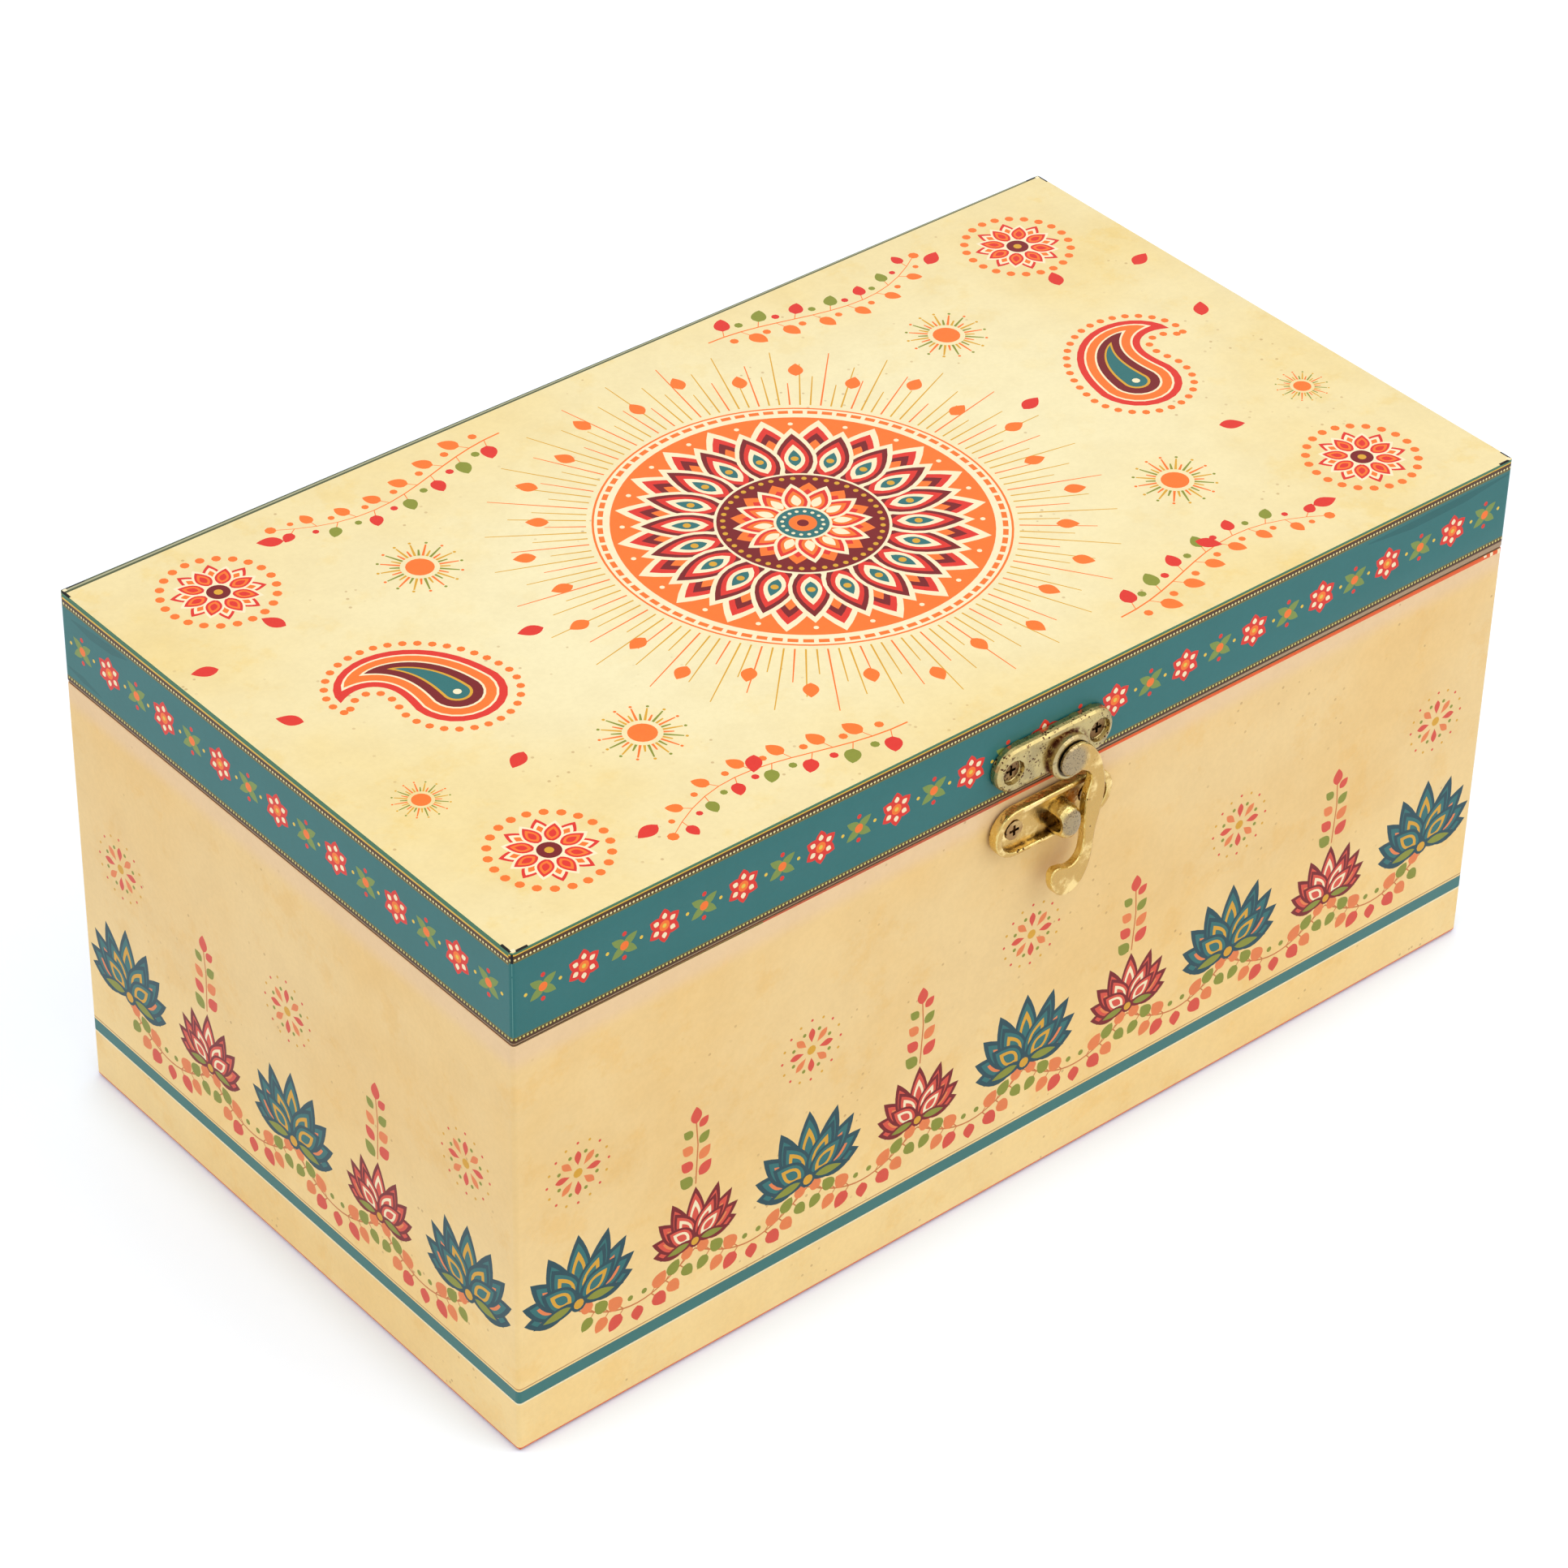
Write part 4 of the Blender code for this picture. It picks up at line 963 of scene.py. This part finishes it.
def frieze(art, count):
    """Large and small flowers by turns, joined by swags, under dot flowers and sprigs"""
    places = [(i - (count - 1) / 2) * FLOWER_PITCH for i in range(count)]
    for x in places[:-1]:
        swag(art, x + FLOWER_PITCH / 2, FLOWER_PITCH / 2)
    for x in places[::2]:
        dot_flower(art, x, DOT_FLOWER_HEIGHT, DOT_FLOWER_RADIUS)
        lotus(art, x, FLOWER_BASE, FLOWER_SIZE, *LARGE_INKS)
    for x in places[1::2]:
        sprig(art, x, FLOWER_BASE + SMALL_FLOWER * SPRIG_FOOT, SPRIG_TOP)
        lotus(art, x, FLOWER_BASE, SMALL_FLOWER, *SMALL_INKS)


def wear_line(art, at, low, high, seed):
    """A broken pale line down a fold"""
    pick = random.Random(seed)
    z = low
    while z < high:
        top = min(z + pick.uniform(*WEAR_LENGTHS), high)
        half = WEAR_WIDTH * pick.uniform(*WEAR_HALVES)
        bar(art, at - half, z, at + half, top, "worn_teal")
        z = top + pick.uniform(*WEAR_GAPS)


def front_seam(art, reach, high):
    """Painted shade over the red at the seam, in duller stretches from its left end, and white chips at
    its right end
    """
    thin, thick = RIM_RED
    for end, ink in SEAM_SHADE_STRETCHES:
        depth = thin + (thick - thin) * (end + reach) / (2 * reach)
        art.append(([(-reach, high - thin), (end, high - depth), (end, high - MARK_INSET),
                     (-reach, high)], ink))
    for inset, depth in SEAM_CHIPS:
        left = reach - inset
        bar(art, left, high - depth, left + CHIP_WIDTH, high - MARK_INSET, "pale")


def body_art(side, low, high):
    """Flowers over a stripe, with the bare board's red along the foot and the seam"""
    art, reach = [], side.reach
    line = STRIPE_HIGH + STRIPE_LINE
    bar(art, -reach, STRIPE_LOW, reach, STRIPE_HIGH, "teal_side")
    bar(art, -reach, line, reach, line + STRIPE_LINE_WIDTH, "side_line")
    bar(art, -reach, STRIPE_LOW - STRIPE_LINE, reach, STRIPE_LOW, "pale")
    frieze(art, 2 * int(side.flat / FLOWER_PITCH - FLOWER_END) + 1)
    thin, thick = RIM_RED if side.name == "front" else RIM_RED[:1] * 2
    art.append(([(-reach, high - thin), (reach, high - thick), (reach, high), (-reach, high)],
                "board_red"))
    bar(art, -reach, low, reach, low + FOOT_RED, "board_red")
    if side.name == "front":
        front_seam(art, reach, high)
    return art


def band_rosette(art, x, z):
    """A small round flower with six petals"""
    petal_ring(art, x, z, ring_of(6), 0.8, *ROSETTE_PETAL, ("coral", "coral", "pale"))
    dot(art, x, z, 1.3, "orange", 14)
    dot(art, x, z, 0.55, "yellow", 8)


def band_leaves(art, x, z):
    """Two pairs of leaves out of a dot, with a bead above and below it"""
    for side in (-1, 1):
        for turn in (58, 122):
            art.append((move(petal(*BAND_LEAF), x + side * 0.4, z, side * turn), "leaf_green"))
        dot(art, x + side * 4.3, z, 0.45, "yellow", 8)
        dot(art, x, z + side * 3.0, 0.60, "coral", 8)
    dot(art, x, z, 1.1, "orange", 12)


def band_crease_shades(art, side, low, high):
    """Painted shade of folds in the paper, darker streaks pointed at both ends"""
    for name, end, upper, steps, width in CREASE_SHADES:
        if name == side.name:
            edge = high if upper else low
            path = [(end * side.flat + x, edge + z) for x, z in steps]
            last = len(path) - 1
            widths = [width * sin(pi * (0.04 + 0.92 * i / last)) for i in range(last + 1)]
            art.append((brush(path, widths), "teal_crease_shade"))


def climbing_line(reach, low, high, low_climb, high_climb):
    """A line across a side that climbs on its right half"""
    return [(-reach, low), (0, low), (reach, low + low_climb),
            (reach, high + high_climb), (0, high), (-reach, high)]


def band_flowers(art, side, middle):
    """Rosettes and leaves by turns, with a rosette in the middle"""
    count = 2 * int(side.flat / BAND_PITCH - BAND_END) + 1
    pitch = 2 * side.flat / (count + BAND_MARGIN)
    for i in range(count):
        x = (i - (count - 1) / 2) * pitch
        if (i - count // 2) % 2:
            band_leaves(art, x, middle)
        else:
            band_rosette(art, x, middle)


def band_borders(art, side, low, high):
    """Lines and a row of beads along each edge"""
    reach = side.reach
    top = high - (LEFT_SHIFT if side.name == "left" else 0)
    climb = BORDER_CLIMB if side.name == "front" else 0
    bar(art, -reach, top, reach, high, "line_green")
    at = top
    for width, ink in TOP_LINES:
        bar(art, -reach, at - width, reach, at, ink)
        at -= width
    at = low
    for width, ink in LOW_LINES:
        rise = climb if at > low else 0
        art.append((climbing_line(reach, at, at + width, rise, climb), ink))
        at += width
    beads = round(2 * reach / BEAD_PITCH)
    for i in range(beads):
        x = (i + 0.5 - beads / 2) * 2 * reach / beads
        dot(art, x, top - TOP_BEADS, BEAD_RADIUS, "bead", 6)
        up = climb * max(0, x) / reach
        dot(art, x, low + LOW_BEADS + up, BEAD_RADIUS, "bead_low", 6)


def band_folds(art, side, low, high):
    """A dark mark at the top of each folded corner, over a broken line of wear"""
    half = FOLD_MARK_WIDTH / 2
    for end in (-1, 1):
        at = end * (side.flat + FOLD_MARK_PLACE)
        bar(art, at - half, high - FOLD_MARK, at + half, high, "black")
        wear_line(art, at, low + WEAR_START, high - FOLD_MARK, WEAR_SEED + end)


def band_art(side, low, high):
    """Teal band of rosettes and leaves between two borders"""
    art = []
    band_crease_shades(art, side, low, high)
    band_flowers(art, side, (low + high) / 2)
    band_borders(art, side, low, high)
    if side.folded:
        band_folds(art, side, low, high)
    return art


class Side:
    """The sheet on one side of the box: how far it reaches, and where each of its points lies"""

    def __init__(self, name, half_width, distance, turn, folded):
        self.name = name
        self.flat = half_width - FOLD_RADIUS
        self.distance = distance
        self.turn = Matrix.Rotation(radians(turn), 3, "Z")
        self.folded = folded
        self.reach = self.flat + (pi / 2 * FOLD_RADIUS if folded else 0)

    def folds(self):
        """Distances from the middle at which the sheet bends"""
        if not self.folded:
            return []
        steps = [self.flat + pi / 2 * FOLD_RADIUS * i / CORNER_STEPS for i in range(CORNER_STEPS)]
        return [end * at for at in steps for end in (-1, 1)]

    def place(self, along, z, inward):
        """The point on the box, or that far under its face"""
        angle = max(0, abs(along) - self.flat) / FOLD_RADIUS
        radius = FOLD_RADIUS - inward
        x = min(abs(along), self.flat) + radius * sin(angle)
        y = -(self.distance - FOLD_RADIUS + radius * cos(angle))
        return self.turn @ Vector((x if along > 0 else -x, y, z)) * MM


def inside(outline, x, y):
    """Which of many points lie inside a closed outline, which may cross itself"""
    wound = np.zeros(len(x), int)
    for (ax, ay), (bx, by) in zip(outline, outline[1:] + outline[:1]):
        left = (bx - ax) * (y - ay) - (x - ax) * (by - ay)
        wound += (ay <= y) & (by > y) & (left > 0)
        wound -= (ay > y) & (by <= y) & (left < 0)
    return wound != 0


def cut_sheet(art, outline, paper, lines):
    """The sheet cut along the outlines: flat points, triangles and each triangle's ink"""
    shapes = [outline] + [shape for shape, _ in art]
    inks = [paper] + [ink for _, ink in art]
    points, edges = [], []
    for shape in shapes:
        first, count = len(points), len(shape)
        points += [Vector(point) for point in shape]
        edges += [(first + i, first + (i + 1) % count) for i in range(count)]
    for a, b in lines:
        edges.append((len(points), len(points) + 1))
        points += [Vector(a), Vector(b)]
    verts, _, tris, _, _, _ = delaunay_2d_cdt(points, edges, [], 0, WELD)
    middles = np.array([tuple(vert) for vert in verts])[np.array(tris)].mean(axis=1)
    order = np.argsort(middles[:, 0])
    x, y = middles[order, 0], middles[order, 1]
    found = np.full(len(tris), -1)
    for layer, shape in enumerate(shapes):
        xs, ys = zip(*shape)
        start, end = np.searchsorted(x, (min(xs), max(xs)))
        near = start + np.flatnonzero((y[start:end] > min(ys)) & (y[start:end] < max(ys)))
        near = near[found[near] >= 0] if layer else near
        found[near[inside(shape, x[near], y[near])]] = layer
    return verts, [(tris[order[i]], inks[layer]) for i, layer in enumerate(found) if layer >= 0]


def add_object(name, data):
    obj = bpy.data.objects.new(name, data)
    bpy.context.scene.collection.objects.link(obj)
    return obj


def columns_of(back, flat):
    """The points of a sheet's glued side in columns, from left to right and from the bottom up"""
    columns = {}
    for vert, under in back.items():
        columns.setdefault(round(flat[vert].x, 3), []).append((flat[vert].y, under))
    return [[under for _, under in sorted(columns[at], key=lambda pair: pair[0])]
            for at in sorted(columns)]


def sheet_object(name, verts, kept, lift, mat, cut_edge):
    """A closed piece of paper. Its shown side carries the inks, its glued side a few large faces"""
    data = bmesh.new()
    layer = data.loops.layers.float_color.new("ink")

    def add_face(corners, ink):
        face = data.faces.new(corners)
        face.smooth = True
        for loop in face.loops:
            loop[layer] = (*tint(*INKS[ink])[:3], 1 if ink in GROUNDS else 0)

    front = [data.verts.new(lift(vert.x, vert.y, 0)) for vert in verts]
    flat = dict(zip(front, verts))
    for tri, ink in kept:
        add_face([front[i] for i in tri], ink)
    rim = [edge for edge in data.edges if edge.is_boundary]
    back = {vert: data.verts.new(lift(*flat[vert], PAPER)) for edge in rim for vert in edge.verts}
    columns = columns_of(back, flat)
    for edge in rim:
        a, b = edge.verts
        add_face((a, b, back[b], back[a]), cut_edge)
    for left, right in zip(columns, columns[1:]):
        add_face(left[::-1] + right, "pale")
    loose = [vert for vert in data.verts if not vert.link_faces]
    bmesh.ops.delete(data, geom=loose, context="VERTS")
    bmesh.ops.recalc_face_normals(data, faces=data.faces)
    mesh = bpy.data.meshes.new(name)
    data.to_mesh(mesh)
    data.free()
    mesh.materials.append(mat)
    mesh.set_sharp_from_angle(angle=SHARP_ANGLE)
    return add_object(name, mesh)


def dress(obj, body, node):
    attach(obj, body)
    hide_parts(node)


def rolled(near):
    """How far a sheet's edge has rolled in, this near to it"""
    return ROLL_DEPTH * max(0, EDGE_ROLL - near) ** 2 / EDGE_ROLL


def side_sheets(name, body, node, mat, inks, art_of, drop, rise):
    """Printed sheets on the four sides in the place of a plain sleeve"""
    low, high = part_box(node)
    half_x, half_y = high.x / MM, high.y / MM
    z0, z1 = low.z / MM - drop, high.z / MM + rise
    sides = (Side("front", half_x, half_y, 0, True), Side("right", half_y, half_x, 90, False),
             Side("back", half_x, half_y, 180, True), Side("left", half_y, half_x, 270, False))
    for side in sides:
        reach = side.reach
        lines = [((at, z0), (at, z1)) for at in side.folds()]
        for inset in (EDGE_ROLL / 2, EDGE_ROLL):
            lines += [((-reach, z), (reach, z)) for z in (z0 + inset, z1 - inset)]
        outline = rectangle(-reach, z0, reach, z1)
        verts, kept = cut_sheet(art_of(side, z0, z1), outline, inks[0], lines)

        def lift(along, z, inward, side=side):
            return side.place(along, z, inward + rolled(min(z - z0, z1 - z)))

        dress(sheet_object(f"{name}_{side.name}", verts, kept, lift, mat, inks[1]), body, node)


def lid_top_outline(half_x, half_y):
    corners = []
    for sx, sy, start in ((1, -1, -90), (1, 1, 0), (-1, 1, 90), (-1, -1, 180)):
        x, y = sx * (half_x - FOLD_RADIUS), sy * (half_y - FOLD_RADIUS)
        for i in range(CORNER_STEPS + 1):
            angle = radians(start + 90 * i / CORNER_STEPS)
            corners.append((x + FOLD_RADIUS * cos(angle), y + FOLD_RADIUS * sin(angle)))
    return corners


def lid_top_sheet(mat):
    """The printed sheet on the lid, its edge rolled down a little"""
    half_x, half_y, top = (value / MM for value in sheet_high)
    lines = []
    for inset in (EDGE_ROLL, EDGE_ROLL / 2):
        x, y = half_x - inset, half_y - inset
        corners = rectangle(-x, -y, x, y)
        lines += zip(corners, corners[1:] + corners[:1])
    art, outline = lid_top_art(half_x, half_y), lid_top_outline(half_x, half_y)
    verts, kept = cut_sheet(art, outline, "cream_top", lines)

    def lift(x, y, inward):
        near = min(half_x - abs(x), half_y - abs(y))
        return Vector((x, y, top - inward - rolled(near))) * MM

    sheet = sheet_object("lid_top_print", verts, kept, lift, mat, "line_green")
    dress(sheet, "lid", "lid_top_sheet")


def make_prints(mats):
    lid_top_sheet(mats["lid_print"])
    side_sheets("lid_band_print", "lid", "lid_band", mats["band_print"],
                ("teal", "brown"), band_art, BAND_DROP, BAND_RAISE)
    side_sheets("body_print", "box", "body_wrap", mats["body_print"],
                ("cream_side", "dusty"), body_art, FOOT_DROP, RIM_RAISE)


def paint_nodes(mats):
    """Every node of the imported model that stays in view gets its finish"""
    slots = {part["node"]: part["material_slot"] for part in frame["record"]["subparts"]}
    for name, obj in frame["nodes"].items():
        slot = "golden_screw" if name.startswith("keeper_screw") else slots[name]
        if slot not in mats:
            continue
        obj.data.materials.clear()
        obj.data.materials.append(mats[slot])
        obj.data.shade_smooth()
        obj.data.set_sharp_from_angle(angle=SHARP_ANGLE)


def make_camera():
    camera = add_object("camera", bpy.data.cameras.new("camera"))
    camera.location = CAMERA_PLACE
    camera.rotation_mode = "QUATERNION"
    level = Vector(CAMERA_FORWARD).to_track_quat("-Z", "Y")
    camera.rotation_quaternion = level @ Quaternion((0, 0, 1), radians(CAMERA_ROLL))
    camera.data.lens = CAMERA_LENS
    bpy.context.scene.camera = camera


def seen_directly(mat):
    """1 on rays from the camera, a mirror or glass"""
    paths = add_node(mat, "LightPath").outputs
    seen = maths(mat, "MAXIMUM", paths["Is Camera Ray"], paths["Is Glossy Ray"])
    return maths(mat, "MAXIMUM", seen, paths["Is Transmission Ray"])


def floor_material():
    """Pale under a glow that camera and mirrors see, bluer near the box as a painted cool cast, and dim
    where it touches as a painted contact shadow
    """
    mat, shader = new_material("floor")
    shader.inputs["Roughness"].default_value = 0.9
    near_box = near_point(mat, (0, 0, 0), (COOL_CAST_REACH, 2 * COOL_CAST_REACH))
    feed(mat, blend(mat, near_box, WHITE, COOL_CAST), shader.inputs["Emission Color"])
    open_floor = add_node(mat, "AmbientOcclusion", distance=CONTACT_REACH).outputs["AO"]
    grey = blend(mat, spread(mat, open_floor, 0.5, 1), CONTACT_COOL_CAST, FLOOR_GREY)
    feed(mat, grey, shader.inputs["Base Color"])
    lit = spread(mat, open_floor, 0.5, 1, CONTACT_GLOW * FLOOR_GLOW, FLOOR_GLOW)
    feed(mat, times(mat, seen_directly(mat), lit), shader.inputs["Emission Strength"])
    return mat


def make_floor():
    mesh = bpy.data.meshes.new("floor")
    half = FLOOR_SIZE / 2
    corners = [(x, y, 0) for x, y in rectangle(-half, -half, half, half)]
    mesh.from_pydata(corners, [], [(0, 1, 2, 3)])
    mesh.materials.append(floor_material())
    add_object("floor", mesh)


def make_lamp(name, place, energy):
    lamp = add_object(name, bpy.data.lights.new(name, "AREA"))
    lamp.data.energy = energy
    lamp.data.size = LAMP_SIZE
    lamp.location = place
    aim = Vector(LAMP_AIM) - Vector(place)
    lamp.rotation_euler = aim.to_track_quat("-Z", "Y").to_euler()


def make_light():
    world = bpy.data.worlds.new("studio")
    bpy.context.scene.world = world
    world.use_nodes = True
    background = world.node_tree.nodes["Background"]
    background.inputs["Color"].default_value = WHITE
    strength = spread(world, seen_directly(world), 0, 1, SKY_LIGHT, 1)
    feed(world, strength, background.inputs["Strength"])
    make_lamp("front_softbox", FRONT_LAMP, FRONT_ENERGY)
    make_lamp("side_softbox", SIDE_LAMP, SIDE_ENERGY)
    bpy.context.scene.view_settings.view_transform = "Standard"


make_camera()
make_floor()
make_light()
materials = make_materials()
make_prints(materials)
paint_nodes(materials)
